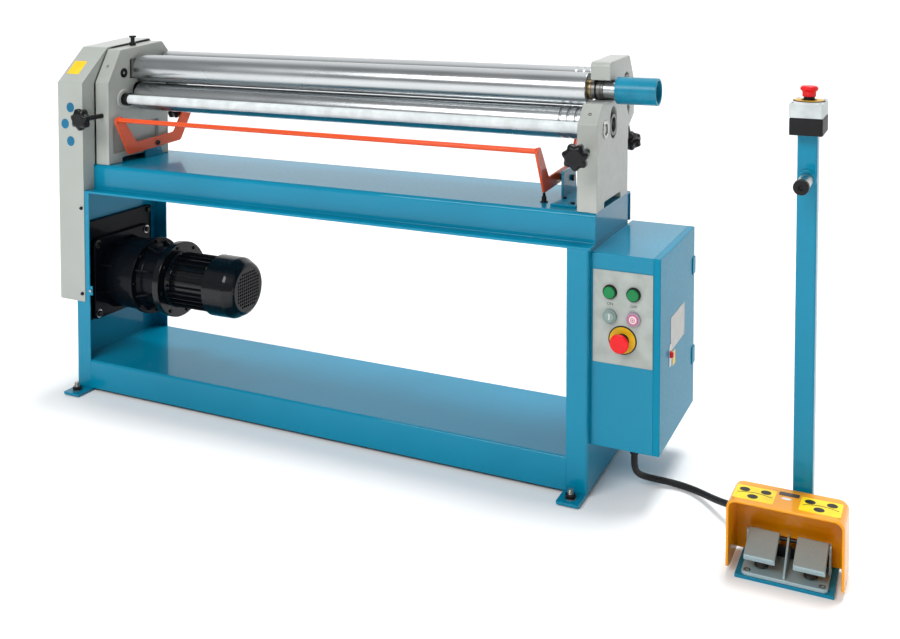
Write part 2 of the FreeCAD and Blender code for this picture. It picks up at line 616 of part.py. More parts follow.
def loop_solid(high_rad, low_rad, low_drop):
    """A band round two circles: the upper about the roll, the lower about the gearbox."""
    high = FreeCAD.Vector(0, roll_y.number, lower_z.number)
    low = FreeCAD.Vector(0, motor_y.number, motor_z.number - low_drop)
    gap = high - low
    lean = math.atan2(gap.z, gap.y)
    spread = math.acos((high_rad - low_rad) / gap.Length)
    edges = []
    ends = []
    for sign in (1, -1):
        bearing = lean + sign * spread
        way = FreeCAD.Vector(0, math.cos(bearing), math.sin(bearing))
        ends.append((low + way * low_rad, high + way * high_rad))
    crest = high + FreeCAD.Vector(0, math.cos(lean), math.sin(lean)) * high_rad
    trough = low - FreeCAD.Vector(0, math.cos(lean), math.sin(lean)) * low_rad
    edges.append(Part.LineSegment(ends[0][0], ends[0][1]).toShape())
    edges.append(Part.Arc(ends[0][1], crest, ends[1][1]).toShape())
    edges.append(Part.LineSegment(ends[1][1], ends[1][0]).toShape())
    edges.append(Part.Arc(ends[1][0], trough, ends[0][0]).toShape())
    width = D.chain_wide.number
    return Part.Face(Part.Wire(edges)).extrude(FreeCAD.Vector(width, 0, 0))


chain = doc.addObject("Part::Feature", "chain")
grow = D.chain_thick.number
near = D.sprocket_large.number + D.chain_fit.number
loose = D.sprocket_small.number + D.chain_play.number
slack = D.chain_slack.number
chain.Shape = loop_solid(near + grow, loose + grow, slack).cut(loop_solid(near, loose, slack))
place(chain, (chain_x - D.chain_wide / 2, 0, 0))
piece("chain", chain)

# Geared motor on the left leg
plate_blank = box("motorPlateBlank", (web_inner, face + D.plate_from, D.plate_low),
                  (web_inner + D.plate_thick, face + D.plate_from + D.plate_wide,
                   D.plate_low + D.plate_tall))
piece("motor_plate", minus("motor_plate", plate_blank, rod(
    "motorPlateHole", D.shaft_rad + D.shaft_play, D.plate_thick + OVER * 2,
    (web_inner - OVER, motor_y, motor_z), "X")))
gear_x = web_inner + D.plate_thick
ring_at = D.gear_long
drum_at = ring_at + D.ring_thick
flange_at = drum_at + D.drum_long
body_at = flange_at + D.flange_thick
motor_end = body_at + D.motor_long
gear_foot = box("gearFoot", (gear_x, motor_y - D.gear_foot / 2, motor_z - D.gear_foot / 2),
                (gear_x + D.gear_foot_thick, motor_y + D.gear_foot / 2,
                 motor_z + D.gear_foot / 2))
piece("reducer", plus("reducer", gear_foot, turned("gearBody", [
    (0, 0), (0, D.gear_rad), (ring_at, D.gear_rad), (ring_at, D.ring_rad),
    (drum_at, D.ring_rad), (drum_at, D.drum_rad), (flange_at, D.drum_rad), (flange_at, 0)],
    (gear_x, motor_y, motor_z))))
motor_parts = [turned("motorCore", [
    (flange_at, 0), (flange_at, D.flange_rad), (body_at, D.flange_rad), (body_at, D.motor_rad),
    (motor_end, D.motor_rad), (motor_end, 0)], (gear_x, motor_y, motor_z))]
fins = int(D.fin_count.number)
for index in range(fins):
    bearing = 360 * index / fins
    lean = math.radians(bearing)
    fin = doc.addObject("Part::Box", f"motorFin{index}")
    bind(fin, Length=D.motor_long, Width=D.fin_thick, Height=D.motor_rad + D.fin_tall)
    motor_parts.append(place(fin, (gear_x + body_at,
                                   motor_y - D.fin_thick / 2 * math.cos(lean),
                                   motor_z - D.fin_thick / 2 * math.sin(lean)),
                             ((1, 0, 0), bearing)))
piece("motor", minus("motor", plus("motorBlank", *motor_parts), rod(
    "motorBore", D.fan_shaft + D.run_fit, D.fan_grip + OVER,
    (gear_x + motor_end - D.fan_grip, motor_y, motor_z), "X")))

fan_x = gear_x + motor_end + D.fan_gap
piece("fan", plus("fan",
                  rod("fanShaft", D.fan_shaft, D.fan_grip + D.fan_gap,
                      (fan_x - D.fan_grip - D.fan_gap, motor_y, motor_z), "X"),
                  rod("fanBlades", D.fan_rad, D.fan_thick, (fan_x, motor_y, motor_z), "X")))
cowl_x = gear_x + motor_end - D.cowl_lap
wall = D.cowl_wall
cowl_end = D.cowl_long
cowl_rad = D.cowl_rad
neck_in = D.motor_rad + D.fin_tall + D.cowl_play
cowl_blank = turned("cowlBlank", [
    (0, neck_in), (0, cowl_rad), (cowl_end - D.cowl_edge, cowl_rad),
    (cowl_end, cowl_rad - D.cowl_edge), (cowl_end, 0), (cowl_end - wall, 0),
    (cowl_end - wall, cowl_rad - D.cowl_edge - wall / 2),
    (cowl_end - D.cowl_edge, cowl_rad - wall), (D.cowl_lap, cowl_rad - wall),
    (D.cowl_lap, neck_in)], (cowl_x, motor_y, motor_z))
holes = []
reach = int(D.grille_rad.number // D.grille_pitch.number) + 1
for row in range(-reach, reach + 1):
    for column in range(-reach, reach + 1):
        across = D.grille_pitch * (column + (row % 2) / 2)
        rise = D.grille_pitch * row * math.sin(math.radians(60))
        if math.hypot(across.number, rise.number) > D.grille_rad.number - D.grille_hole.number:
            continue
        holes.append(rod(f"cowlHole{row}x{column}", D.grille_hole, wall + OVER * 2,
                         (cowl_x + cowl_end - wall - OVER, motor_y + across, motor_z + rise),
                         "X"))
piece("fan_cover", minus("fan_cover", cowl_blank, *holes))
junction_x = gear_x + body_at + D.junction_in
junction_y = motor_y + D.motor_rad + D.fin_tall
piece("terminal_box", box("terminal_box",
                          (junction_x, junction_y, motor_z - D.junction_deep / 2),
                          (junction_x + D.junction_wide, junction_y + D.junction_tall,
                           motor_z + D.junction_deep / 2)))

# Gear cover: a folded sheet box round the chain, closed toward the housing's front edge
cover_from = inner - D.cover_out
cover_to = inner - D.cover_in
lead_y = face - D.cover_lead
brow_y = face + D.cover_brow_depth
crest_y = face + D.cover_crown_depth
tail_y = face + D.cover_back
skin = D.cover_wall


def cover_outline(shrink):
    """The side view of the cover, moved inwards all round by a wall or by nothing."""
    return [(lead_y + shrink, D.cover_bottom + shrink),
            (lead_y + shrink, D.cover_chin - shrink * 0.44),
            (brow_y + shrink * 0.43, D.cover_brow - shrink * 0.96),
            (crest_y - shrink * 0.4, D.cover_crown - shrink * 1.05),
            (tail_y - shrink, D.cover_back_high - shrink * 0.39),
            (tail_y - shrink, D.cover_bottom + shrink)]


flap_z = D.lip_height + D.table_sheet + D.flap_gap
shell = slab("coverBlank", "YZ_Plane", cover_outline(size(0)), cover_to - cover_from,
             (cover_from, 0, 0))
hollow = slab("coverHollow", "YZ_Plane", cover_outline(skin), cover_to - cover_from,
              (cover_from + skin, 0, 0))
stand_room = box("coverStandRoom", (left, front, D.cover_bottom - OVER),
                 (cover_to + OVER, tail_y + OVER, top))
flap_profile = common("coverFlapTop", slab("coverFlapBlank", "YZ_Plane", cover_outline(size(0)),
                                           skin, (cover_to - skin, 0, 0)),
                      box("coverFlapRoom", (cover_to - skin, lead_y, flap_z),
                          (cover_to, face - D.flap_gap, D.cover_crown)))
flap = minus("coverFlap", flap_profile, box(
    "coverFlapNotch", (cover_to - skin - OVER, table_front - D.flap_gap, flap_z - OVER),
    (cover_to + OVER, face + OVER, top + D.flap_gap)))
cover_body = minus("coverBody", shell, hollow, stand_room)
cover_holes = []
cover_bolts = []
bolt_x = cover_to - D.cover_screw_in
for index, z in enumerate((D.cover_screw_low, D.cover_screw_high)):
    cover_holes.append(rod(f"coverHole{index}", D.cover_bolt_rad + D.screw_fit, skin + OVER * 2,
                           (bolt_x, lead_y + skin + OVER, z), "-Y"))
    cover_bolts.append(plus(f"coverBolt{index}",
                            rod(f"coverHead{index}", D.cover_screw_rad, D.cover_head,
                                (bolt_x, lead_y, z), "-Y"),
                            rod(f"coverShank{index}", D.cover_bolt_rad, skin,
                                (bolt_x, lead_y + skin, z), "-Y")))
piece("gear_cover", minus("gear_cover", plus("coverWhole", cover_body, flap), *cover_holes))
gather("cover_screws", *cover_bolts)

# Trip frame: two cranked arms with a front and a rear bar, hinged on brackets on the table
trip_y = face + D.trip_depth
trip_z = D.trip_height
arm_outline = [(5, 120), (57, 20.5), (269, 32), (325.5, 120), (288, 127.5), (241, 59), (88, 51),
               (32, 128)]
arm_left_x = inner + D.arm_gap
arm_right_x = arm_left_x + D.arm_span
for label, x in (("arm_left", arm_left_x), ("arm_right", arm_right_x)):
    corners = [(face + y * D.arm_scale, top + z * D.arm_scale) for y, z in arm_outline]
    piece(label, slab(label, "YZ_Plane", corners, D.arm_thick, (x, 0, 0),
                      [(trip_y, trip_z, D.trip_pin + D.trip_fit)]))
bar_from = arm_left_x + D.arm_thick
gather("trip_bars", *[rod(f"tripBar{index}", D.arm_bar, arm_right_x - bar_from,
                          (bar_from, face + y * D.arm_scale, top + z * D.arm_scale), "X")
                      for index, (y, z) in enumerate(((18, 119), (305.5, 112.5)))])
bracket_front = trip_y - D.bracket_fore
low_points = [(trip_y - D.bracket_half, top), (trip_y - D.bracket_half, trip_z + D.bracket_low),
              (trip_y + D.bracket_low, trip_z + D.bracket_low), (trip_y + D.bracket_half, top)]
bracket_points = [(bracket_front, top), (bracket_front, trip_z + D.bracket_ear),
                  (trip_y + D.bracket_ear, trip_z + D.bracket_ear), (trip_y + D.bracket_half, top)]
bracket_left_x = arm_left_x - D.bracket_gap - D.bracket_thick
bracket_right_x = arm_right_x + D.arm_thick + D.bracket_stand
left_pivot = plus("pivotLeft",
                  rod("pivotLeftPin", D.trip_pin, D.bracket_gap + D.arm_thick + D.pivot_clear,
                      (arm_left_x - D.bracket_gap, trip_y, trip_z), "X"),
                  rod("pivotLeftStep", D.pivot_step, D.bracket_gap - D.pivot_clear,
                      (arm_left_x - D.bracket_gap, trip_y, trip_z), "X"),
                  rod("pivotLeftHead", D.pivot_head, D.pivot_head_long,
                      (arm_left_x + D.arm_thick + D.pivot_clear, trip_y, trip_z), "X"))
right_pivot = plus("pivotRight",
                   rod("pivotRightPin", D.trip_pin, D.bracket_stand + D.arm_thick + D.pivot_clear,
                       (arm_right_x - D.pivot_clear, trip_y, trip_z), "X"),
                   rod("pivotRightStep", D.pivot_step, D.bracket_stand - D.pivot_clear,
                       (arm_right_x + D.arm_thick + D.pivot_clear, trip_y, trip_z), "X"),
                   rod("pivotRightHead", D.pivot_head, D.pivot_head_long,
                       (arm_right_x - D.pivot_clear - D.pivot_head_long, trip_y, trip_z), "X"))
gather("trip_brackets",
       slab("bracketLeft", "YZ_Plane", low_points, D.bracket_thick, (bracket_left_x, 0, 0)),
       left_pivot,
       plus("bracketRight",
            slab("bracketRightPlate", "YZ_Plane", bracket_points, D.bracket_thick,
                 (bracket_right_x, 0, 0)),
            box("bracketRightFoot", (bracket_right_x, bracket_front - D.foot_fore, top),
                (bracket_right_x + D.bracket_thick + D.bracket_foot,
                 bracket_front + D.foot_fore, top + D.bracket_thick))),
       right_pivot)
plunger_y = face + D.plunger_depth
gather("trip_switch", minus(
    "switchBase",
    box("switchBlock", (arm_right_x + D.arm_thick / 2 - D.switch_half, plunger_y - D.switch_half,
                        top),
        (arm_right_x + D.arm_thick / 2 + D.switch_half, plunger_y + D.switch_half,
         top + D.switch_tall)),
    rod("switchBore", D.plunger_rad + D.trip_fit, D.switch_tall,
        (arm_right_x + D.arm_thick / 2, plunger_y, top + D.switch_floor))))
piece("trip_plunger", rod("trip_plunger", D.plunger_rad, D.plunger_long,
                          (arm_right_x + D.arm_thick / 2, plunger_y,
                           top + D.plunger_top - D.plunger_long)))

# Control cabinet on the right leg: a sheet box with its door on the right and a panel in front
box_left = right
box_right = right + D.cabinet_wide
box_front = front + D.cabinet_back
box_back = box_front + D.cabinet_deep
box_low = D.cabinet_low
box_high = D.lip_height - D.cabinet_drop
steel = D.cabinet_sheet
door_x = box_right - D.door_thick
shell_to = door_x - D.door_fit
panel_left = right + D.panel_in
panel_low = box_high - D.panel_drop - D.panel_tall
stop_at = (panel_left + D.stop_across, panel_low + D.stop_rise)
button_spots = [(panel_left + D.column_one, panel_low + D.button_row),
                (panel_left + D.column_two, panel_low + D.button_row)]
lamp_spots = [(panel_left + D.column_one, panel_low + D.lamp_row),
              (panel_left + D.column_two, panel_low + D.lamp_row)]
hinge_y = box_back + D.hinge_rad + D.door_fit
hinge_half = D.hinge_tall / 2
button_room = D.button_rad + D.button_fit
through = D.panel_thick + steel + OVER * 2


def panel_hole(name, radius, spot, y):
    return rod(name, radius, through, (spot[0], y, spot[1]), "-Y")


cabinet_parts = [minus(
    "cabinetShell",
    box("cabinetBlank", (box_left, box_front, box_low), (shell_to, box_back, box_high)),
    box("cabinetRoom", (box_left + steel, box_front + steel, box_low + steel),
        (shell_to + OVER, box_back - steel, box_high - steel)))]
door_parts = [minus(
    "doorShell",
    box("doorBlank", (door_x, box_front, box_low), (box_right, box_back, box_high)),
    box("doorRoom", (door_x - OVER, box_front + steel, box_low + steel),
        (box_right - steel, box_back - steel, box_high - steel)))]
leaf = D.hinge_leaf
for index, rise in enumerate((D.hinge_low, D.hinge_high)):
    z = box_low + rise
    cabinet_parts += [
        rod(f"hingeRoot{index}", D.hinge_rad, hinge_half, (door_x, hinge_y, z)),
        rod(f"hingePin{index}", D.hinge_pin, D.hinge_tall, (door_x, hinge_y, z)),
        box(f"hingeRootLeaf{index}", (shell_to - leaf, box_back, z),
            (shell_to, hinge_y, z + hinge_half))]
    upper = z + hinge_half + D.door_fit
    door_parts.append(minus(
        f"hingeDoor{index}",
        plus(f"hingeDoorBlank{index}",
             rod(f"hingeEye{index}", D.hinge_rad, hinge_half - D.door_fit,
                 (door_x, hinge_y, upper)),
             box(f"hingeDoorLeaf{index}", (door_x, box_back, upper),
                 (door_x + leaf, hinge_y, z + D.hinge_tall))),
        rod(f"hingeEyeBore{index}", D.hinge_pin + D.run_fit, D.hinge_tall,
            (door_x, hinge_y, z))))
lock_y = box_front + D.lock_depth
door_parts.append(rod("doorLock", D.lock_rad, D.lock_long,
                      (box_right, lock_y, box_low + D.lock_rise), "X"))
wall_cuts = [panel_hole(f"cabinetButtonHole{index}", button_room, spot, box_front + steel + OVER)
             for index, spot in enumerate(button_spots)]
wall_cuts.append(panel_hole("cabinetStopHole", D.stop_neck_rad + D.button_fit, stop_at,
                            box_front + steel + OVER))
piece("cabinet", minus("cabinet", plus("cabinetWhole", *cabinet_parts), *wall_cuts))
piece("cabinet_door", plus("cabinet_door", *door_parts))

panel_y = box_front - D.panel_thick
panel_blank = box("panelBlank", (panel_left, panel_y, panel_low),
                  (panel_left + D.panel_wide, box_front, panel_low + D.panel_tall))
bezels = [rod(f"bezel{index}", D.bezel_rad, D.bezel_long, (spot[0], panel_y, spot[1]), "-Y")
          for index, spot in enumerate(button_spots)]
panel_cuts = [rod(f"bezelHole{index}", button_room, D.bezel_long + through,
                  (spot[0], box_front + OVER, spot[1]), "-Y")
              for index, spot in enumerate(button_spots)]
panel_cuts.append(panel_hole("panelStopHole", D.stop_neck_rad + D.button_fit, stop_at,
                             box_front + OVER))
piece("panel_plate", minus("panel_plate", plus("panelWhole", panel_blank, *bezels), *panel_cuts))
gather("lamps", *[rod(f"lamp{index}", D.lamp_rad, D.lamp_long, (spot[0], panel_y, spot[1]), "-Y")
                  for index, spot in enumerate(lamp_spots)])
button_y = panel_y - D.bezel_long - D.button_proud
for label, spot in zip(("start_button", "halt_button"), button_spots):
    piece(label, rod(label, D.button_rad, D.button_long, (spot[0], button_y + D.button_long,
                                                        spot[1]), "-Y"))
piece("stop_ring", minus(
    "stop_ring",
    plus("stopRingBlank",
         rod("stopDisc", D.stop_ring_rad, D.panel_thick, (stop_at[0], panel_y, stop_at[1]), "-Y"),
         rod("stopCollar", D.stop_collar_rad, D.stop_collar_long,
             (stop_at[0], panel_y, stop_at[1]), "-Y")),
    rod("stopRingHole", D.stop_neck_rad + D.button_fit, D.stop_collar_long + OVER * 2,
        (stop_at[0], panel_y + OVER, stop_at[1]), "-Y")))
stop_face = panel_y - D.stop_collar_long - D.stop_travel - D.button_fit
piece("stop_head", plus(
    "stop_head",
    rod("stopKnob", D.stop_rad, D.stop_long, (stop_at[0], stop_face, stop_at[1]), "-Y"),
    rod("stopNeck", D.stop_neck_rad, D.stop_neck_long,
        (stop_at[0], stop_face + D.stop_neck_long, stop_at[1]), "-Y")))

# Control cable from the gland under the cabinet along the floor to the gland on the hood
cable_path = [(790, -96, 89), (790, -96, 71), (790, -86, 50), (795, -64, 32), (812, -42, 19),
              (846, -24, 10), (888, -28, 8.5), (926, -52, 13), (957, -84, 22), (988, -116, 34),
              (1012, -138, 43), (1034, -162, 49), (1042, -176, 50), (1042, -190, 50)]


def arced(points):
    """Straight runs joined by tangent arcs, with each arc's radius."""
    spots = [FreeCAD.Vector(*point) for point in points]
    edges = []
    radii = []
    start = spots[0]
    for before, corner, after in zip(spots, spots[1:], spots[2:]):
        inward = corner - before
        outward = after - corner
        turn = inward.getAngle(outward)
        trim = 0.45 * min(inward.Length, outward.Length)
        radii.append(trim / math.tan(turn / 2))
        first = corner - FreeCAD.Vector(inward).normalize() * trim
        last = corner + FreeCAD.Vector(outward).normalize() * trim
        bulge = (first + last) / 2 - corner
        middle = corner + bulge.normalize() * (radii[-1] / math.cos(turn / 2) - radii[-1])
        edges.append(Part.LineSegment(start, first).toShape())
        edges.append(Part.Arc(first, middle, last).toShape())
        start = last
    edges.append(Part.LineSegment(start, spots[-1]).toShape())
    return Part.Wire(edges), radii


def hose(label, points, radius):
    """A round tube of one section along an arced route."""
    route, radii = arced(points)
    way = FreeCAD.Vector(*points[1]) - FreeCAD.Vector(*points[0])
    ring = Part.Wire([Part.Circle(FreeCAD.Vector(*points[0]), way, radius.number).toShape()])
    run = doc.addObject("Part::Feature", label)
    run.Shape = route.makePipeShell([ring], True, False)
    ideal = math.pi * radius.number ** 2 * route.Length
    print(f"{label}: length {route.Length:.0f}, volume {run.Shape.Volume / ideal:.4f} of ideal,"
          f" radii {' '.join(f'{value:.0f}' for value in radii)}")
    place(run, (0, 0, 0))
    return piece(label, run)


hose("cable", cable_path, D.cable_rad)
cabinet_gland_at = (cable_path[0][0], cable_path[0][1], box_low)
piece("cabinet_gland", plus(
    "cabinet_gland",
    rod("cabinetGlandNut", D.gland_rad, D.gland_nut, cabinet_gland_at,
        turn=((1, 0, 0), 180)),
    rod("cabinetGlandCap", D.gland_cap, D.gland_long, cabinet_gland_at, turn=((1, 0, 0), 180))))

# Foot pedal unit: floor plate, casting with two pedals, hood, post and stop station
pedal_x = right + D.pedal_away
base_front = front - D.pedal_ahead
base_back = base_front + D.base_deep
cast_front = base_front + D.casting_in
cast_top = D.base_thick + D.casting_thick
axis_y = base_front + D.pedal_pivot
axis_z = D.base_thick + D.pedal_axis
half_cast = D.casting_wide / 2
base_parts = [
    box("pedalFloor", (pedal_x - D.base_wide / 2, base_front, 0),
        (pedal_x + D.base_wide / 2, base_back, D.base_thick)),
    box("pedalCasting", (pedal_x - half_cast, cast_front, D.base_thick),
        (pedal_x + half_cast, cast_front + D.casting_deep, cast_top)),
    slab("pedalRib", "YZ_Plane",
         [(cast_front, cast_top), (cast_front, cast_top + D.rib_low),
          (axis_y - D.ear_half, axis_z + D.ear_half), (axis_y + D.ear_half, axis_z + D.ear_half),
          (axis_y + D.ear_half, cast_top)], D.rib_thick, (pedal_x - D.rib_thick / 2, 0, 0))]
ear_spots = []
for side in (-1, 1):
    ear_x = pedal_x - half_cast if side < 0 else pedal_x + half_cast - D.ear_thick
    base_parts.append(box(f"pedalEar{side}", (ear_x, axis_y - D.ear_half, cast_top),
                          (ear_x + D.ear_thick, axis_y + D.ear_half, axis_z + D.ear_half)))
base_cuts = [rod("pedalPinHole", D.pedal_pin, D.casting_wide + OVER * 2,
                 (pedal_x - half_cast - OVER, axis_y, axis_z), "X")]
for side in (-1, 1):
    base_cuts.append(rod(f"pedalBoltHole{side}", D.casting_hole, D.casting_thick + OVER,
                         (pedal_x + side * (half_cast - D.hole_in), cast_front + D.hole_in,
                          D.base_thick)))
piece("pedal_base", minus("pedal_base", plus("pedalBlank", *base_parts), *base_cuts))
pin_parts = [rod("pedalPin", D.pedal_pin, D.casting_wide,
                 (pedal_x - half_cast, axis_y, axis_z), "X")]
spring_y = cast_front + D.spring_in
for side, label in ((-1, "pedal_left"), (1, "pedal_right")):
    middle_x = pedal_x + side * D.pedal_spread
    tread = plus(label + "Blank",
                 box(label + "Tread", (0, -D.pedal_long, D.pedal_lift - D.pedal_thick),
                     (D.pedal_wide, 0, D.pedal_lift)),
                 rod(label + "Hub", D.hub_small, D.pedal_wide, (0, 0, 0), "X"))
    pedal = minus(label, tread, rod(label + "Bore", D.pedal_pin + D.pedal_fit,
                                    D.pedal_wide + OVER * 2, (-OVER, 0, 0), "X"))
    piece(label, place(pedal, (middle_x - D.pedal_wide / 2, axis_y, axis_z),
                       ((1, 0, 0), D.pedal_tilt)))
    pin_parts.append(tube(f"pedalSpring{side}", D.spring_rad, D.spring_bore, D.spring_tall,
                          (middle_x, spring_y, cast_top)))
gather("pedal_pins", *pin_parts)

hood_x = pedal_x + D.hood_shift
hood_left = hood_x - D.hood_wide / 2
hood_back = base_front + D.hood_depth
hood_front = base_front + D.hood_lead
brim = D.hood_tall + D.hood_rise
wall = D.hood_wall
side_view = [(hood_front + D.hood_toe, D.hood_lift), (hood_front, brim), (hood_back, D.hood_tall),
             (hood_back, D.hood_heel)]
inside_view = [(hood_front - OVER, -OVER), (hood_front - OVER, brim - wall),
               (hood_back - wall, D.hood_tall - wall), (hood_back - wall, -OVER)]
hood_blank = slab("hoodBlank", "YZ_Plane", side_view, D.hood_wide, (hood_left, 0, 0))
hood_room = slab("hoodRoom", "YZ_Plane", inside_view, D.hood_wide - wall * 2,
                 (hood_left + wall, 0, 0))
piece("hood", minus("hood", hood_blank, hood_room))
hood_gland_at = (cable_path[-1][0], hood_back, cable_path[-1][2])
piece("hood_gland", plus(
    "hood_gland",
    rod("hoodGlandNut", D.gland_rad, D.gland_nut, hood_gland_at, "Y"),
    rod("hoodGlandCap", D.gland_cap, D.gland_long, hood_gland_at, "Y")))

post_x = pedal_x + D.post_shift
post_front = hood_back + D.post_back
post_top = D.base_thick + D.post_tall
half_post = D.post_wide / 2
post = minus("postTube",
             box("postOuter", (post_x - half_post, post_front, D.base_thick),
                 (post_x + half_post, post_front + D.post_wide, post_top)),
             box("postInner", (post_x - half_post + D.post_wall, post_front + D.post_wall,
                               D.base_thick - OVER),
                 (post_x + half_post - D.post_wall, post_front + D.post_wide - D.post_wall,
                  post_top + OVER)))
piece("column", plus(
    "column", post,
    rod("stubFlange", D.stub_flange, D.stub_flange_long, (post_x, post_front, D.stub_height),
        "-Y"),
    rod("stubTube", D.stub_rad, D.stub_reach, (post_x, post_front, D.stub_height), "-Y"),
    rod("stubCap", D.stub_cap, D.stub_cap_long,
        (post_x, post_front - D.stub_reach + D.stub_cap_long, D.stub_height), "-Y")))
station_y = post_front + half_post
half_wide = D.station_wide / 2
station_low = post_top
station_split = station_low + D.station_low
station_high = station_split + D.station_high
half_deep = D.station_deep / 2
station = plus("stationBox",
               box("stationLower", (post_x - half_wide, station_y - half_deep, station_low),
                   (post_x + half_wide, station_y + half_deep, station_split)),
               box("stationUpper", (post_x - half_wide, station_y - half_deep, station_split),
                   (post_x + half_wide, station_y + half_deep, station_high)))
well = rod("stationWell", D.stop_neck_rad + D.button_fit, D.stop_neck_long + OVER,
           (post_x, station_y, station_high - D.stop_neck_long))
piece("station_box", minus("station_box", station, well))
piece("station_ring", tube("station_ring", D.station_ring, D.stop_neck_rad + D.button_fit,
                           D.station_disc, (post_x, station_y, station_high)))
station_seat = station_high + D.station_disc + D.stop_travel + D.button_fit
piece("station_head", plus(
    "station_head",
    rod("stationKnob", D.station_head_rad, D.station_head_long,
        (post_x, station_y, station_seat)),
    rod("stationNeck", D.stop_neck_rad, D.stop_neck_long,
        (post_x, station_y, station_seat - D.stop_neck_long))))


doc.recompute()
for thing in doc.Objects:
    if "Invalid" in thing.State or "Error" in thing.State:
        raise RuntimeError(f"{thing.Label} did not build: {thing.State}")
for thing in pieces:
    if thing.Shape.isNull() or not thing.Shape.isValid():
        raise RuntimeError(f"{thing.Label} has no valid shape")

os.makedirs("parts", exist_ok=True)
for thing in pieces:
    thing.Shape.exportStep(os.path.join("parts", thing.Label + ".step"))
    bounds = thing.Shape.BoundBox
    print(f"{thing.Label:18s} solids {len(thing.Shape.Solids)}"
          f"  x {bounds.XMin:8.1f} {bounds.XMax:8.1f}  y {bounds.YMin:8.1f} {bounds.YMax:8.1f}"
          f"  z {bounds.ZMin:7.1f} {bounds.ZMax:7.1f}")
print(len(pieces), "sub-parts written")
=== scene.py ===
import json
import math

import bmesh
import bpy
import numpy as np
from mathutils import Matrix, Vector


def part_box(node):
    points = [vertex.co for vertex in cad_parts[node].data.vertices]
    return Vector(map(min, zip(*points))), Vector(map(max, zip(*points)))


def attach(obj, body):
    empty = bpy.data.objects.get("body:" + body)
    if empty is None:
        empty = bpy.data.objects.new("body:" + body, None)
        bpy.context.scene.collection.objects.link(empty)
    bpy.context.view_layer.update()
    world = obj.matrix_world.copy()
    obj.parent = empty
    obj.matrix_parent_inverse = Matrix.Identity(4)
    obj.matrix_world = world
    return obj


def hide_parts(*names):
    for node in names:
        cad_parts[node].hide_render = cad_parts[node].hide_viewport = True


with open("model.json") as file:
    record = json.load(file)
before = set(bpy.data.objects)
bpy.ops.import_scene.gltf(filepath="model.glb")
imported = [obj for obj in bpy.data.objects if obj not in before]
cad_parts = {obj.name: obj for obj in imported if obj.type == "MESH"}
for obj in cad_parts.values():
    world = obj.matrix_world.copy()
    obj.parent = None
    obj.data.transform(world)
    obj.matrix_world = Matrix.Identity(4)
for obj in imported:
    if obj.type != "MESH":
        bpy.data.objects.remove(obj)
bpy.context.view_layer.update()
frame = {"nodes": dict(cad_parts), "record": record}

nodes = frame["nodes"]
slotOf = {entry["node"]: entry["material_slot"] for entry in frame["record"]["subparts"]}
print("frame loaded:", len(nodes), "nodes")

# shader wiring: sockets that add and multiply like numbers


class Wire:
    def __init__(self, board, socket):
        self.board = board
        self.socket = socket

    def __add__(self, other):
        return self.board.maths("ADD", self, other)

    def __sub__(self, other):
        return self.board.maths("SUBTRACT", self, other)

    def __rsub__(self, other):
        return self.board.maths("SUBTRACT", other, self)

    def __mul__(self, other):
        return self.board.maths("MULTIPLY", self, other)

    __radd__ = __add__
    __rmul__ = __mul__


class Board:
    # the nodes of a material or of the world, all made here

    def __init__(self, owner):
        self.owner = owner
        owner.use_nodes = True
        self.tree = owner.node_tree
        self.tree.nodes.clear()

    def add(self, kind, settings=None, sockets=None):
        node = self.tree.nodes.new(kind)
        for key, value in (settings or {}).items():
            setattr(node, key, value)
        for key, value in (sockets or {}).items():
            if isinstance(value, Wire):
                self.tree.links.new(value.socket, node.inputs[key])
            else:
                node.inputs[key].default_value = value
        return node

    def out(self, node, key=0):
        return Wire(self, node.outputs[key])

    def maths(self, operation, first, second):
        return self.out(self.add("ShaderNodeMath", {"operation": operation},
                                 {0: first, 1: second}))

    def blend(self, factor, first, second):
        node = self.add("ShaderNodeMix", {"data_type": "RGBA"}, {0: factor, 6: first, 7: second})
        return self.out(node, 2)

    def place(self, scale=(1, 1, 1)):
        coords = self.out(self.add("ShaderNodeTexCoord"), "Object")
        return self.out(self.add("ShaderNodeMapping", {}, {"Vector": coords, "Scale": scale}))

    def noise(self, where, scale, detail=3.0):
        return self.out(self.add("ShaderNodeTexNoise", {}, {
            "Vector": where, "Scale": scale, "Detail": detail, "Roughness": 0.5}))

    def mask(self, value, low=0.3, high=0.7):
        # 0 up to low, 1 from high on, and a straight climb between them
        return self.out(self.add("ShaderNodeMapRange", {}, {0: value, 1: low, 2: high}))

    def bump(self, height, strength, distance, under=None):
        sockets = {"Height": height, "Strength": strength, "Distance": distance}
        if under is not None:
            sockets["Normal"] = under
        return self.out(self.add("ShaderNodeBump", {}, sockets))

    def shine(self, color, roughness, metallic=0.0, normal=None, **fixed):
        sockets = {"Base Color": color, "Roughness": roughness, "Metallic": metallic}
        if normal is not None:
            sockets["Normal"] = normal
        node = self.add("ShaderNodeBsdfPrincipled", {}, sockets)
        for key, value in fixed.items():
            node.inputs[key.replace("_", " ")].default_value = value
        self.add("ShaderNodeOutputMaterial", {}, {"Surface": self.out(node)})
        return self.owner


def rgb(red, green, blue):  # screen values of 0 to 255 to linear light
    values = [channel / 255 for channel in (red, green, blue)]
    return tuple(v / 12.92 if v <= 0.04045 else ((v + 0.055) / 1.055) ** 2.4
                 for v in values) + (1,)


def dimmed(color, share):
    return tuple(channel * share for channel in color[:3]) + (1,)


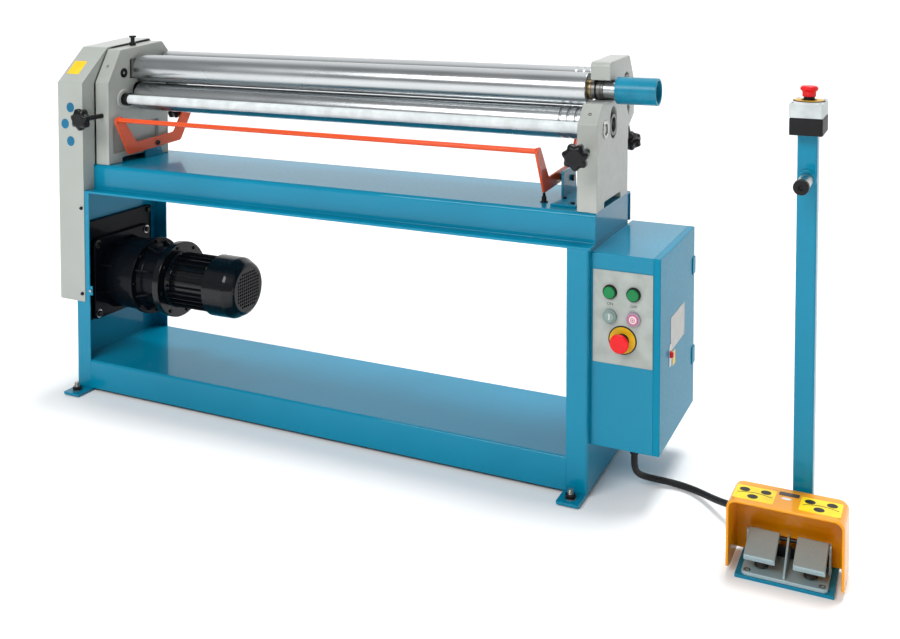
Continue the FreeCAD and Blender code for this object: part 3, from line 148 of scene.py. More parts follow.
def paintedSheet(name, color, roughness=0.32, peel=0.3, coat=0.5):
    # powder coat: faint orange peel, broad drifts of shade and a clear glossy skin
    b = Board(bpy.data.materials.new(name))
    where = b.place()
    drift = b.mask(b.noise(where, 3.5, 2), 0.35, 0.65)
    grain = b.noise(where, 160, 1)
    tone = b.blend(drift, dimmed(color, 0.9), color)
    return b.shine(tone, roughness - 0.03 + b.mask(grain) * 0.07,
                   normal=b.bump(grain, peel, 0.00008), Specular_IOR_Level=0.06,
                   Coat_Weight=coat, Coat_Roughness=0.06)


def paintedCasting(name, color):
    # paint over sand-cast iron: gentle lumps and fine sand under a thin gloss
    b = Board(bpy.data.materials.new(name))
    where = b.place()
    drift = b.mask(b.noise(where, 6, 3), 0.35, 0.65)
    lumps = b.noise(where, 60, 2)
    sand = b.noise(where, 500, 1)
    darker = dimmed(color, 0.88)
    tone = b.blend(b.mask(sand, 0.5, 0.8) * 0.14, b.blend(drift, darker, color), darker)
    normal = b.bump(sand, 0.3, 0.00006, b.bump(lumps, 0.3, 0.0004))
    return b.shine(tone, 0.37 + b.mask(lumps) * 0.13, normal=normal, Specular_IOR_Level=0.35,
                   Coat_Weight=0.3, Coat_Roughness=0.15)


def groundSteel(name, color, roughness):
    # ground bar: long faint bands of tone, and gloss that an oily smear changes slowly
    b = Board(bpy.data.materials.new(name))
    bands = b.mask(b.noise(b.place((1, 26, 26)), 1.0, 2))
    smear = b.mask(b.noise(b.place((4, 9, 9)), 1.0, 3))
    return b.shine(b.blend(bands, dimmed(color, 0.84), color), roughness - 0.05 + smear * 0.13, 1.0)


def plainMetal(name, color, roughness):
    # plated or blackened small parts: cloudy tone and gloss over a fine pitting
    b = Board(bpy.data.materials.new(name))
    where = b.place()
    cloud = b.mask(b.noise(where, 45, 3))
    pit = b.noise(where, 700, 2)
    return b.shine(b.blend(1 - cloud, color, dimmed(color, 0.7)),
                   roughness - 0.06 + cloud * 0.14, 1.0, b.bump(pit, 0.15, 0.0002))


def moulded(name, color, roughness=0.3, texture=0.12, grain=900):
    # moulded plastic skin: slow clouds of shade and a fine grain in gloss and height
    b = Board(bpy.data.materials.new(name))
    where = b.place()
    cloud = b.mask(b.noise(where, 30, 2), 0.35, 0.65)
    skin = b.noise(where, grain, 2)
    return b.shine(b.blend(cloud, dimmed(color, 0.82), color),
                   roughness - 0.04 + b.mask(skin) * 0.1,
                   normal=b.bump(skin, texture, 0.0003), Specular_IOR_Level=0.25)


def hammered(name, color):
    # hammer-effect enamel: shallow round dimples two millimetres across on a grey pearl
    b = Board(bpy.data.materials.new(name))
    where = b.place()
    cells = b.out(b.add("ShaderNodeTexVoronoi", {"feature": "SMOOTH_F1"}, {
        "Vector": where, "Scale": 420.0, "Smoothness": 0.8}), "Distance")
    drift = b.mask(b.noise(where, 20, 2))
    dark = dimmed(color, 0.8)
    tone = b.blend(drift * 0.25, b.blend(b.mask(cells, 0.2, 0.8) * 0.6, color, dark), dark)
    return b.shine(tone, 0.34 + drift * 0.08, 0.15, b.bump(cells, 0.3, 0.0002),
                   Coat_Weight=0.3, Coat_Roughness=0.2)


finishes = {material.name: material for material in (
    paintedSheet("bluePaint", rgb(0, 129, 162), coat=0.42),
    paintedSheet("doorPaint", rgb(0, 129, 162), coat=0.08),
    paintedCasting("greyCasting", rgb(164, 168, 163)),
    paintedSheet("greyPaint", rgb(164, 168, 163), 0.4),
    groundSteel("groundSteel", rgb(190, 194, 196), 0.24),
    moulded("brightBar", rgb(212, 219, 220), 0.3, 0.02),
    plainMetal("machinedIron", rgb(120, 120, 118), 0.4),
    plainMetal("oiledBronze", rgb(150, 132, 100), 0.35),
    moulded("blueSleeve", rgb(26, 130, 160), 0.25, 0.05),
    plainMetal("blackSteel", rgb(52, 52, 54), 0.35),
    plainMetal("oiledSteel", rgb(96, 92, 88), 0.4),
    plainMetal("zincPlate", rgb(188, 188, 184), 0.3),
    moulded("blackKnob", rgb(15, 16, 18), 0.26, 0.08),
    paintedSheet("blackPaint", rgb(9, 12, 16), 0.3, 0.5, 0.5),
    paintedSheet("plateBlack", rgb(8, 12, 18), 0.45, 0.8, 0.12),
    moulded("blackPlastic", rgb(17, 18, 20), 0.5),
    paintedSheet("orangePaint", rgb(216, 78, 34), 0.38),
    moulded("panelSheet", rgb(168, 175, 170), 0.45, 0.05),
    moulded("greenLens", rgb(10, 130, 70), 0.2, 0.02),
    moulded("greyButton", rgb(140, 160, 156), 0.35, 0.02),
    moulded("redButton", rgb(206, 120, 150), 0.35, 0.02),
    moulded("yellowPlastic", rgb(222, 176, 30), 0.4, 0.05),
    moulded("redPlastic", rgb(226, 22, 30), 0.25, 0.03),
    moulded("blackRubber", rgb(28, 28, 29), 0.55, 0.2, 500),
    hammered("hammeredGrey", rgb(156, 180, 186)),
    paintedSheet("hoodYellow", rgb(240, 158, 6), 0.35),
    moulded("lightPlastic", rgb(196, 204, 204), 0.4),
    paintedSheet("coverPaint", rgb(164, 169, 164), 0.4),
    moulded("stickerYellow", rgb(240, 196, 40), 0.35, 0.03),
    moulded("stickerLemon", rgb(255, 222, 20), 0.35, 0.03),
    moulded("stickerBlue", rgb(8, 104, 142), 0.35, 0.03),
    moulded("inkBlack", rgb(24, 22, 22), 0.45, 0.03),
    moulded("inkWhite", rgb(238, 238, 236), 0.45, 0.03),
    moulded("ringPink", rgb(214, 120, 160), 0.4, 0.03),
    moulded("buttonRim", rgb(170, 150, 170), 0.35, 0.03),
    plainMetal("nameplateSheet", rgb(176, 176, 174), 0.38),
    moulded("nameplateDark", rgb(70, 62, 58), 0.4, 0.05),
)}
print("finishes made:", len(finishes))

# stage, lights and camera

stage = {"reach": 60.0, "shade": rgb(252, 252, 252), "sky": 1.12, "front": 0.34,
         "toBright": (-0.2, 0.9, 0.4), "dimTo": 0.3, "brightFrom": 0.85}


def makeStage():
    mesh = bpy.data.meshes.new("studioFloor")
    reach = stage["reach"]
    mesh.from_pydata([(-reach, -reach, 0), (reach, -reach, 0), (reach, reach, 0),
                      (-reach, reach, 0)], [], [(0, 1, 2, 3)])
    floor = bpy.data.objects.new("studioFloor", mesh)
    bpy.context.scene.collection.objects.link(floor)
    b = Board(bpy.data.materials.new("studioFloor"))
    speck = b.mask(b.noise(b.place(), 8, 2))
    mesh.materials.append(b.shine(stage["shade"], 0.75 + speck * 0.1, Specular_IOR_Level=0.1))
    # the room is bright above and behind the machine and dim on the operator's side
    world = bpy.data.worlds.new("studioSky")
    bpy.context.scene.world = world
    b = Board(world)
    ray = b.out(b.add("ShaderNodeTexCoord"), "Generated")
    lean = b.out(b.add("ShaderNodeVectorMath", {"operation": "DOT_PRODUCT"},
                       {0: ray, 1: stage["toBright"]}), "Value")
    level = b.out(b.add("ShaderNodeMapRange", {"interpolation_type": "SMOOTHSTEP"}, {
        0: lean, 1: stage["dimTo"], 2: stage["brightFrom"], 3: stage["front"], 4: stage["sky"]}))
    back = b.add("ShaderNodeBackground", {}, {"Color": (1, 1, 1, 1), "Strength": level})
    b.add("ShaderNodeOutputWorld", {}, {"Surface": b.out(back)})


daylight = {"from": (0.3, 0.85, 3.0), "strength": 2.0, "angle": 24}
frontFill = {"spot": (-0.4, -3.7, 3.3), "aim": (0.1, 0.0, 0.4), "width": 3.4, "height": 1.6,
             "power": 140}


def hang(light, spot, lookBack):
    # a lamp shines down its own minus Z, so its Z points from what it lights back to its place
    lamp = bpy.data.objects.new(light.name, light)
    bpy.context.scene.collection.objects.link(lamp)
    lamp.location = spot
    lamp.rotation_euler = lookBack.to_track_quat("Z", "Y").to_euler()


def makeLights():
    light = bpy.data.lights.new("backKey", "SUN")
    light.energy = daylight["strength"]
    light.angle = math.radians(daylight["angle"])
    hang(light, daylight["from"], Vector(daylight["from"]))
    light = bpy.data.lights.new("frontFill", "AREA")
    light.shape = "RECTANGLE"
    light.size = frontFill["width"]
    light.size_y = frontFill["height"]
    light.energy = frontFill["power"]
    hang(light, frontFill["spot"], Vector(frontFill["spot"]) - Vector(frontFill["aim"]))


cameraSetup = {"spot": (1.3653, -2.2332, 1.0929), "heading": 25.15, "dip": 2.39,
               "lens": 42.23, "shift": -0.3325}


def makeCamera():
    data = bpy.data.cameras.new("viewer")
    data.sensor_width = 36
    data.lens = cameraSetup["lens"]
    data.shift_y = cameraSetup["shift"]
    data.clip_end = 500
    camera = bpy.data.objects.new("viewer", data)
    bpy.context.scene.collection.objects.link(camera)
    camera.location = cameraSetup["spot"]
    camera.rotation_euler = (math.radians(90 - cameraSetup["dip"]), 0,
                             math.radians(cameraSetup["heading"]))
    bpy.context.scene.camera = camera


makeStage()
makeLights()
makeCamera()
bpy.context.scene.view_settings.view_transform = "Standard"
print("stage, lights and camera set")

# the control cable, from the cabinet to the foot pedal hood

cable = {"thick": 0.014, "points": [
    (0.790, -0.096, 0.089), (0.790, -0.096, 0.071), (0.790, -0.086, 0.050),
    (0.795, -0.064, 0.032), (0.812, -0.042, 0.019), (0.846, -0.024, 0.010),
    (0.888, -0.028, 0.0085), (0.926, -0.052, 0.013), (0.957, -0.084, 0.022),
    (0.988, -0.116, 0.034), (1.012, -0.138, 0.043), (1.034, -0.162, 0.049),
    (1.042, -0.176, 0.050), (1.042, -0.190, 0.050)], "length": 0.412}


def makeCable():
    curve = bpy.data.curves.new("controlCable", "CURVE")
    curve.dimensions = "3D"
    curve.bevel_depth = cable["thick"] / 2
    curve.bevel_resolution = 6
    curve.use_fill_caps = True
    spline = curve.splines.new("NURBS")
    spline.points.add(len(cable["points"]) - 1)
    for point, (x, y, z) in zip(spline.points, cable["points"]):
        point.co = (x, y, z, 1)
    spline.order_u = 3
    spline.use_endpoint_u = True
    spline.resolution_u = 10
    piece = bpy.data.objects.new("controlCable", curve)
    bpy.context.scene.collection.objects.link(piece)
    curve.materials.append(finishes["blackRubber"])
    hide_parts("cable")
    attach(piece, "frame")
    return piece


cableRun = makeCable()

# shapes, all in millimetres until they become a mesh


def unit(vectors):
    return vectors / np.maximum(np.linalg.norm(vectors, axis=-1, keepdims=True), 1e-12)


def boxOf(*names):
    # lowest and highest corner of some CAD nodes together
    corners = np.array([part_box(name) for name in names]) * 1000
    return corners[:, 0].min(axis=0), corners[:, 1].max(axis=0)


def axesOf(axis):
    # two directions across an axis and the axis itself
    along = {"X": (1, 0, 0), "Y": (0, 1, 0), "Z": (0, 0, 1)}.get(axis, axis)
    along = unit(np.array(along, float))
    across = unit(np.cross((0, 1, 0) if abs(along[0]) > 0.9 else (1, 0, 0), along))
    return across, np.cross(along, across), along


def turned(points, axis, degrees, centre):
    # each point keeps its part along the axis, and the rest turns in the plane across it
    along = axesOf(axis)[2]
    arm = points - np.array(centre, float)
    lean = math.radians(degrees)
    kept = np.sum(arm * along, axis=-1, keepdims=True) * along
    return centre + kept + (arm - kept) * math.cos(lean) + np.cross(along, arm) * math.sin(lean)


def roundCorners(corners, steps=6, openEnded=False):
    # corners are across, up and a radius: an arc that touches both sides takes each corner's place,
    # its points swinging evenly from the first touching point to the second round the arc's centre
    spots = np.array([corner[:2] for corner in corners], float)
    radii = np.array([corner[2] if len(corner) > 2 else 0.0 for corner in corners])
    if openEnded:
        radii[[0, -1]] = 0
    back = unit(np.roll(spots, 1, 0) - spots)
    ahead = unit(np.roll(spots, -1, 0) - spots)
    half = np.arccos(np.clip(np.sum(back * ahead, axis=1), -0.9999, 0.9999)) / 2
    middle = spots + unit(back + ahead) * (radii / np.sin(half))[:, None]
    trim = (radii / np.tan(half))[:, None]
    first = spots + back * trim - middle
    last = spots + ahead * trim - middle
    swing = (math.pi - 2 * half)[:, None, None]
    share = np.linspace(0, 1, steps)[None, :, None]
    arcs = (np.sin((1 - share) * swing) * first[:, None] + np.sin(share * swing) * last[:, None])
    points = (middle[:, None] + arcs / np.sin(swing)).reshape(-1, 2)
    apart = np.linalg.norm(points - np.roll(points, 1, 0), axis=1) > 1e-4
    if openEnded:
        apart[0] = True
    return points[apart]


def ring(radius, centre=(0, 0), steps=40):
    # a circle: the radius times the cosine and sine of evenly spaced angles
    turn = np.linspace(0, 2 * math.pi, steps, endpoint=False)
    return np.array(centre) + radius * np.stack([np.cos(turn), np.sin(turn)], 1)


def oblong(first, last, radius):
    # two half circles joined by straight sides
    way = math.atan2(last[1] - first[1], last[0] - first[0])
    turn = np.linspace(-math.pi / 2, math.pi / 2, 16) + way
    half = radius * np.stack([np.cos(turn), np.sin(turn)], 1)
    return np.concatenate([np.array(last) + half, np.array(first) - half])


def rectangle(low, high, corner=0.0, steps=6):
    # four corners, rounded alike
    return roundCorners([(low[0], low[1], corner), (high[0], low[1], corner),
                         (high[0], high[1], corner), (low[0], high[1], corner)], steps)


def shrunk(outline, inset):
    # every point moves inwards square to its neighbours' line, by the inset over the cosine
    # of half the bend there, so that both sides move by the inset
    before = unit(outline - np.roll(outline, 1, 0))
    after = unit(np.roll(outline, -1, 0) - outline)
    mid = unit(before + after)
    inward = np.stack([-mid[:, 1], mid[:, 0]], 1)
    turnArea = np.sum(outline[:, 0] * np.roll(outline[:, 1], -1)
                      - np.roll(outline[:, 0], -1) * outline[:, 1])
    cosine = np.maximum(np.sum(mid * before, axis=1), 0.4)
    return outline + inward * np.sign(turnArea) * inset / cosine[:, None]


def bentSheet(corners, thick, steps=6):
    # a bent sheet seen from its end: its middle line carried half its thickness to both sides
    line = roundCorners(corners, steps, openEnded=True)
    way = unit(np.gradient(line, axis=0))
    side = np.stack([-way[:, 1], way[:, 0]], 1) * thick / 2
    return np.concatenate([line + side, (line - side)[::-1]])


def gridFaces(rows, columns, wrapRows=False, wrapColumns=False):
    # four-sided faces between neighbours of a grid of points, closed on itself where asked
    i, j = np.meshgrid(np.arange(rows if wrapRows else rows - 1),
                       np.arange(columns if wrapColumns else columns - 1), indexing="ij")
    i2 = (i + 1) % rows
    j2 = (j + 1) % columns
    quads = [i * columns + j, i * columns + j2, i2 * columns + j2, i2 * columns + j]
    return np.stack(quads, -1).reshape(-1, 4).tolist()


meshing = {"merge": 1e-4, "rimSteps": 4, "smoothUpTo": 34}


class Form:
    # a piece in the making: each shape is closed, merged, turned outwards and joined to the rest

    def __init__(self, *finishNames):
        self.finishNames = finishNames
        self.store = bmesh.new()

    def add(self, points, faces, finish=0, ends=None):
        # ends: a direction and the two heights along it at which open loops get a flat cap
        mesh = bpy.data.meshes.new("shape")
        mesh.from_pydata(points.reshape(-1, 3).tolist(), [], faces)
        shape = bmesh.new()
        shape.from_mesh(mesh)
        bmesh.ops.remove_doubles(shape, verts=shape.verts, dist=meshing["merge"])
        for face in shape.faces:
            face.smooth = True
        if ends is not None:
            along, heights = ends
            for height in heights:
                rim = [edge for edge in shape.edges if edge.is_boundary and all(
                    abs(float(np.dot(vert.co, along)) - height) < 1e-2 for vert in edge.verts)]
                made = bmesh.ops.triangle_fill(shape, use_beauty=True, use_dissolve=False,
                                               edges=rim, normal=Vector(along))
                for item in made["geom"]:
                    if isinstance(item, bmesh.types.BMFace):
                        item.smooth = False
        bmesh.ops.recalc_face_normals(shape, faces=shape.faces)
        for face in shape.faces:
            face.material_index = finish
        shape.to_mesh(mesh)
        shape.free()
        self.store.from_mesh(mesh)
        bpy.data.meshes.remove(mesh)

    def slab(self, outline, low, high, axis="X", rim=0.8, holes=(), finish=0, turn=None):
        # an outline carried from low to high along an axis: at both ends it shrinks by a quarter
        # circle, which rounds the rim, while holes widen by the same amount
        bend = np.linspace(0, math.pi / 2, meshing["rimSteps"]) if rim else np.zeros(1)
        insets = np.concatenate([rim * (1 - np.sin(bend)), rim * (1 - np.sin(bend[::-1]))])
        heights = np.concatenate([low + rim * (1 - np.cos(bend)),
                                  high - rim * (1 - np.cos(bend[::-1]))])
        flat = {"X": (1, 2, 0), "Y": (0, 2, 1), "Z": (0, 1, 2)}[axis]
        points = []
        faces = []
        for loop, way in [(outline, 1)] + [(hole, -1) for hole in holes]:
            stack = np.stack([shrunk(loop, way * inset) for inset in insets])
            solid = np.zeros(stack.shape[:2] + (3,))
            solid[..., flat[0]] = stack[..., 0]
            solid[..., flat[1]] = stack[..., 1]
            solid[..., flat[2]] = heights[:, None]
            start = sum(len(part) for part in points)
            faces += (np.array(gridFaces(len(insets), len(loop), wrapColumns=True))
                      + start).tolist()
            points.append(solid.reshape(-1, 3))
        points = np.concatenate(points)
        along = np.eye(3)[flat[2]]
        limits = (low, high)
        if turn is not None:
            base = turned(np.array([along * low, along * high]), *turn)
            points = turned(points, *turn)
            along = unit(base[1] - base[0])
            limits = (float(base[0] @ along), float(base[1] @ along))
        self.add(points, faces, finish, (along, limits))

    def block(self, low, high, axis="Z", edge=1.0, rim=None, finish=0, turn=None):
        # a box with rounded edges
        flat = {"X": (1, 2, 0), "Y": (0, 2, 1), "Z": (0, 1, 2)}[axis]
        outline = rectangle((low[flat[0]], low[flat[1]]), (high[flat[0]], high[flat[1]]), edge, 5)
        self.slab(outline, low[flat[2]], high[flat[2]], axis, edge if rim is None else rim,
                  finish=finish, turn=turn)

    def lathe(self, profile, centre, axis="X", finish=0, around=48, hollow=False, lobes=0,
              deep=0.0):
        # a profile of distances along and away from an axis, carried round it. Lobes make the
        # radius swell and sink as a cosine of the angle, by a depth that each point may scale
        profile = np.array(profile, float)
        across, up, along = axesOf(axis)
        angle = np.linspace(0, 2 * math.pi, around, endpoint=False)
        wave = 1 + np.outer(np.broadcast_to(deep, len(profile)), np.cos(lobes * angle) - 1)
        reach = profile[:, 1, None] * wave
        points = (np.array(centre, float) + profile[:, 0, None, None] * along
                  + reach[..., None] * (np.cos(angle)[:, None] * across
                                        + np.sin(angle)[:, None] * up))
        self.add(points, gridFaces(len(profile), around, hollow, True), finish)

    def thread(self, start, end, radius, pitch, centre):
        # an upright screw: for each pitch along it and each turn round it, the radius falls and
        # rises once by 0.6 of the pitch
        across, up, along = axesOf("Z")
        around = 24
        heights = np.linspace(start, end, max(int((end - start) / pitch * 6), 8))
        angle = np.linspace(0, 2 * math.pi, around, endpoint=False)
        phase = heights[:, None] / pitch - angle / (2 * math.pi)
        reach = radius - 0.6 * pitch * np.abs((phase % 1) * 2 - 1)
        reach[[0, -1]] *= 0.86
        heights = np.concatenate([[start], heights, [end]])
        reach = np.concatenate([np.zeros((1, around)), reach, np.zeros((1, around))])
        points = (np.array(centre, float) + heights[:, None, None] * along
                  + reach[..., None] * (np.cos(angle)[:, None] * across
                                        + np.sin(angle)[:, None] * up))
        self.add(points, gridFaces(len(heights), around, False, True))

    def tube(self, path, radius, finish=0, around=12, ahead=(0, 0, 1)):
        # a circle carried along a path and kept square to it, shut by a point at both ends
        path = np.array(path, float)
        way = unit(np.gradient(path, axis=0))
        side = unit(np.cross(way, ahead))
        up = np.cross(side, way)
        path = np.concatenate([path[:1], path, path[-1:]])
        side = np.concatenate([side[:1], side, side[-1:]])
        up = np.concatenate([up[:1], up, up[-1:]])
        reach = np.full(len(path), float(radius))
        reach[[0, -1]] = 0
        angle = np.linspace(0, 2 * math.pi, around, endpoint=False)
        points = path[:, None] + reach[:, None, None] * (
            np.cos(angle)[:, None] * side[:, None] + np.sin(angle)[:, None] * up[:, None])
        self.add(points, gridFaces(len(path), around, False, True), finish)

    def words(self, text, height, centre, finish):
        # plain letters that face the front, a quarter of a millimetre thick
        curve = bpy.data.curves.new("words", "FONT")
        curve.body = text
        curve.size = height
        curve.extrude = 0.125
        curve.resolution_u = 3
        curve.align_x = "CENTER"
        curve.align_y = "CENTER"
        holder = bpy.data.objects.new("words", curve)
        mesh = bpy.data.meshes.new_from_object(holder)
        points = np.empty(len(mesh.vertices) * 3)
        mesh.vertices.foreach_get("co", points)
        points = points.reshape(-1, 3)
        points = np.stack([points[:, 0], -points[:, 2], points[:, 1]], 1) + np.array(centre)
        self.add(points, [list(face.vertices) for face in mesh.polygons], finish)
        bpy.data.objects.remove(holder)
        bpy.data.meshes.remove(mesh)
        bpy.data.curves.remove(curve)

    def make(self, name, body, replaced):
        # the finished piece, in metres, riding on its body in place of its CAD node
        bmesh.ops.scale(self.store, vec=(0.001, 0.001, 0.001), verts=self.store.verts)
        mesh = bpy.data.meshes.new(name)
        self.store.to_mesh(mesh)
        self.store.free()
        mesh.set_sharp_from_angle(angle=math.radians(meshing["smoothUpTo"]))
        for finish in self.finishNames:
            mesh.materials.append(finishes[finish])
        piece = bpy.data.objects.new(name, mesh)
        bpy.context.scene.collection.objects.link(piece)
        even = piece.modifiers.new("evenNormals", "WEIGHTED_NORMAL")
        even.keep_sharp = True
        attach(piece, body)
        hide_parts(replaced)
        return piece


# stand: bent sheet legs, table and shelf, foot plates and levelling screws

stand = {"sheet": 3, "bend": 5, "tableSheet": 5, "tableBend": 7, "fasciaSetback": 37,
         "endPlate": 5, "earthTab": (255, 279), "footHalf": 25, "footLong": 60, "footCorner": 4,
         "screwOut": 180.5, "holeRadius": 7.4, "studRadius": 7, "threadPitch": 2,
         "washerRadius": 12.4, "washerThick": 2, "nutRadius": 12, "nutTall": 8}


def makeLegs():
    for name, side in (("leg_left", -1), ("leg_right", 1)):
        low, high = boxOf(name)
        half = stand["sheet"] / 2
        web, lip = (low[0] + half, high[0]) if side < 0 else (high[0] - half, low[0])
        front, back = low[1] + half, high[1] - half
        form = Form("bluePaint", "zincPlate")
        form.slab(bentSheet([(lip, front), (web, front, stand["bend"]), (web, back, stand["bend"]),
                             (lip, back)], stand["sheet"]), low[2], high[2], "Z", 0.5)
        if side < 0:  # small earth tab with its screw on the inner edge of the front flange
            tabLow, tabHigh = stand["earthTab"]
            form.block((lip - 2, front - 1, tabLow), (lip + 9, front + 1, tabHigh), "Y", 1, 0.4)
            form.slab(ring(4.2, (lip + 4, (tabLow + tabHigh) / 2), 6), front - 4.5, front - 1,
                      "Y", 0.6, finish=1)
        form.make("legSheet" + ("Left" if side < 0 else "Right"), "frame", name)


def makeTable():
    low, high = boxOf("table")
    half = stand["tableSheet"] / 2
    fascia = low[1] + stand["fasciaSetback"] + half
    form = Form("bluePaint")
    form.slab(bentSheet([(low[1], low[2] + half), (fascia, low[2] + half, 5),
                         (fascia, high[2] - half, stand["tableBend"]),
                         (high[1] - half, high[2] - half, stand["tableBend"]),
                         (high[1] - half, low[2])], stand["tableSheet"]),
              low[0], high[0], "X", 0.5)
    for start in (low[0] + 0.5, high[0] - 8):  # plates that shut the ends
        form.block((start, fascia, low[2] + 0.5),
                   (start + stand["endPlate"], high[1] - half, high[2] - 3), "X", 1)
    form.make("tableSheet", "frame", "table")


def makeShelf():
    low, high = boxOf("shelf")
    legIn = boxOf("leg_left")[1][0]
    half = stand["sheet"] / 2
    form = Form("bluePaint")
    form.slab(bentSheet([(low[1] + half, low[2]), (low[1] + half, high[2] - half, stand["bend"]),
                         (high[1] - half, high[2] - half, stand["bend"]),
                         (high[1] - half, low[2])], stand["sheet"]), legIn, -legIn, "X", 0.4)
    form.block((low[0], low[1] + 3.2, high[2] - 2.8), (high[0], high[1] - 3.2, high[2] - 0.2),
               "Z", 1, 0.3)
    rise = np.linspace(low[2] + 2, high[2] - 3, 60)
    wobble = 0.25 * np.sin(rise * 1.4)
    for side in (-1, 1):  # weld beads where the shelf's lips meet the legs
        for y in (low[1] + 0.3, high[1] - 0.3):
            bead = np.stack([side * legIn + wobble, np.full_like(rise, y), rise], 1)
            form.tube(bead, 1.1, ahead=(1, 0, 0))
    form.make("shelfSheet", "frame", "shelf")


def makeFeet():
    low, high = boxOf("foot_plates")
    screwLow, screwHigh = boxOf("levelling_screws")
    plates = Form("bluePaint")
    screws = Form("zincPlate", "blackSteel")
    half = stand["footHalf"]
    wide, thick = stand["washerRadius"], stand["washerThick"]
    washer = [(0, 7.2), (0, wide - 0.4), (0.4, wide), (thick - 0.4, wide), (thick, wide - 0.4),
              (thick, 7.2)]
    for sideX in (-1, 1):
        for sideY in (-1, 1):
            x, y = sideX * (high[0] - half), sideY * stand["screwOut"]
            ends = sorted((sideY * high[1], sideY * (high[1] - stand["footLong"])))
            plates.slab(rectangle((x - half, ends[0]), (x + half, ends[1]), stand["footCorner"]),
                        low[2], high[2], "Z", 0.8, [ring(stand["holeRadius"], (x, y), 24)])
            screws.thread(screwLow[2], screwHigh[2], stand["studRadius"], stand["threadPitch"],
                          (x, y, 0))
            screws.lathe(washer, (x, y, high[2]), "Z", hollow=True, around=32)
            nutFoot = high[2] + thick
            screws.slab(ring(stand["nutRadius"], (x, y), 6), nutFoot, nutFoot + stand["nutTall"],
                        "Z", 1, finish=1)
    plates.make("footPlates", "frame", "foot_plates")
    screws.make("levellingScrews", "frame", "levelling_screws")


makeLegs()
makeTable()
makeShelf()
makeFeet()
print("stand made")

# cast housings

housing = {"edge": 3, "face": -110.5, "foot": 594, "archTop": 608, "archEnds": (-58.5, 67.5),
           "waist": 125.5, "pocket": ((-92.5, 622), (85.5, 696)), "pocketDeep": 9,
           "rollLine": (9.5, 767), "lift": (-5, 16), "swingLine": (9.5, 843),
           "windowHalf": (35, 26), "mouthRadius": 23, "slotRadius": 24.5,
           "rearTop": (113, 850.3), "rearLow": (146.5, 792.3), "shoulderDeep": 9,
           "plug": (-50.5, 834), "plugRadius": 13,
           "greaseLeft": (-647.5, -87, 853.6), "greaseRight": (687.5, -91.5, 800.5)}


def housingArch():
    # the foot's underside from the back to the front, with a flat arch between its two pads
    foot, top = housing["foot"], housing["archTop"]
    front, back = housing["archEnds"]
    return [(housing["waist"], foot, 2), (back, foot, 2), (back, top, 6), (front, top, 6),
            (front, foot, 2)]


def housingBase():
    # rear lobe, waist and foot, going down the back and forward along the table
    return [(211.5, 790, 14), (211.5, 768, 10), (housing["waist"], 720, 16)] + housingArch()


def slots():
    y, z = housing["rollLine"]
    down, up = housing["lift"]
    return [oblong((y, z + down), (y, z + up), housing["slotRadius"]),
            oblong(housing["rearLow"], housing["rearTop"], housing["slotRadius"])]


def addGreaseHole(form, spot, way):
    # the hole's cup takes the black steel finish (finish 1): painted shade for the dark inside of the
    # hole
    form.lathe([(-3, 0), (-3, 3.6), (0.3, 3.6), (0.3, 2.4), (-1, 2), (-1, 0)], spot, way, 1, 20)


def makeHousingLeft():
    low, high = boxOf("housing_left")
    face, foot = housing["face"], housing["foot"]
    outline = roundCorners([(face, foot, 2), (face, 812, 8), (-62.5, 897, 8),
                            (104.5, 912, 14)] + housingBase())
    y, z = housing["swingLine"]
    halfWide, halfTall = housing["windowHalf"]
    window = rectangle((y - halfWide, z - halfTall), (y + halfWide, z + halfTall), 3)
    floor = high[0] - housing["pocketDeep"]
    cuts = [window] + slots()
    form = Form("greyCasting", "blackSteel")
    form.slab(shrunk(outline, 0.1), low[0], floor, "X", housing["edge"],
              [shrunk(cut, -0.1) for cut in cuts])
    form.slab(outline, floor - 8, high[0], "X", housing["edge"],
              cuts + [rectangle(*housing["pocket"], 7)])
    plug = housing["plugRadius"]  # a dark plug on the inner face
    form.lathe([(-2, 0), (-2, plug), (0.6, plug), (1.2, plug - 1), (1.2, 4), (-1, 3), (-1, 0)],
               (high[0],) + housing["plug"], "X", 1)
    addGreaseHole(form, housing["greaseLeft"], (0, -0.871, 0.492))
    form.make("housingCastingLeft", "frame", "housing_left")


def makeHousingRight():
    low, high = boxOf("housing_right")
    face, foot = housing["face"], housing["foot"]
    mouth = housing["mouthRadius"]
    y, z = housing["swingLine"]
    crown = (136.5, 912, 14)
    front = [(face, foot, 2), (face, 781, 8), (-72.5, 820, 5), (y + mouth, z - mouth, mouth - 0.2),
             (y + mouth, z + mouth, mouth - 0.2), (-18.5, z + mouth, 3), (-18.5, 906, 12)]
    whole = roundCorners(front + [crown] + housingBase())
    radius = housing["slotRadius"]  # the outer face steps back behind y 129.5 and below z 856
    over, under = np.radians(np.linspace(30, 210, 30)), np.radians(np.linspace(210, 226, 5))
    first = roundCorners(front + [crown, (170.5, 856.5, 1), (138, 856.5)], openEnded=True)
    arcs = [np.array(spot) + radius * np.stack([np.cos(turn), np.sin(turn)], 1)
            for spot, turn in ((housing["rearTop"], over), (housing["rearLow"], under))]
    last = roundCorners([(129.5, 774), (129.5, 723, 2), (housing["waist"], 718, 4)]
                        + housingArch(), openEnded=True)
    shoulder = np.concatenate([first] + arcs + [last])
    step = high[0] - housing["shoulderDeep"]
    form = Form("greyCasting", "blackSteel")
    form.slab(whole, low[0], low[0] + 18, "X", housing["edge"],
              slots() + [rectangle(*housing["pocket"], 7)])
    form.slab(shrunk(whole, 0.1), low[0] + housing["pocketDeep"], step, "X", housing["edge"],
              [shrunk(cut, -0.1) for cut in slots()])
    form.slab(shrunk(shoulder, -0.02), step - 8, high[0], "X", 2, slots()[:1])
    addGreaseHole(form, housing["greaseRight"], (0, -0.716, 0.698))
    form.make("housingCastingRight", "frame", "housing_right")


makeHousingLeft()
makeHousingRight()
print("housings made")

# rolls, bearings, tie rod and sleeve

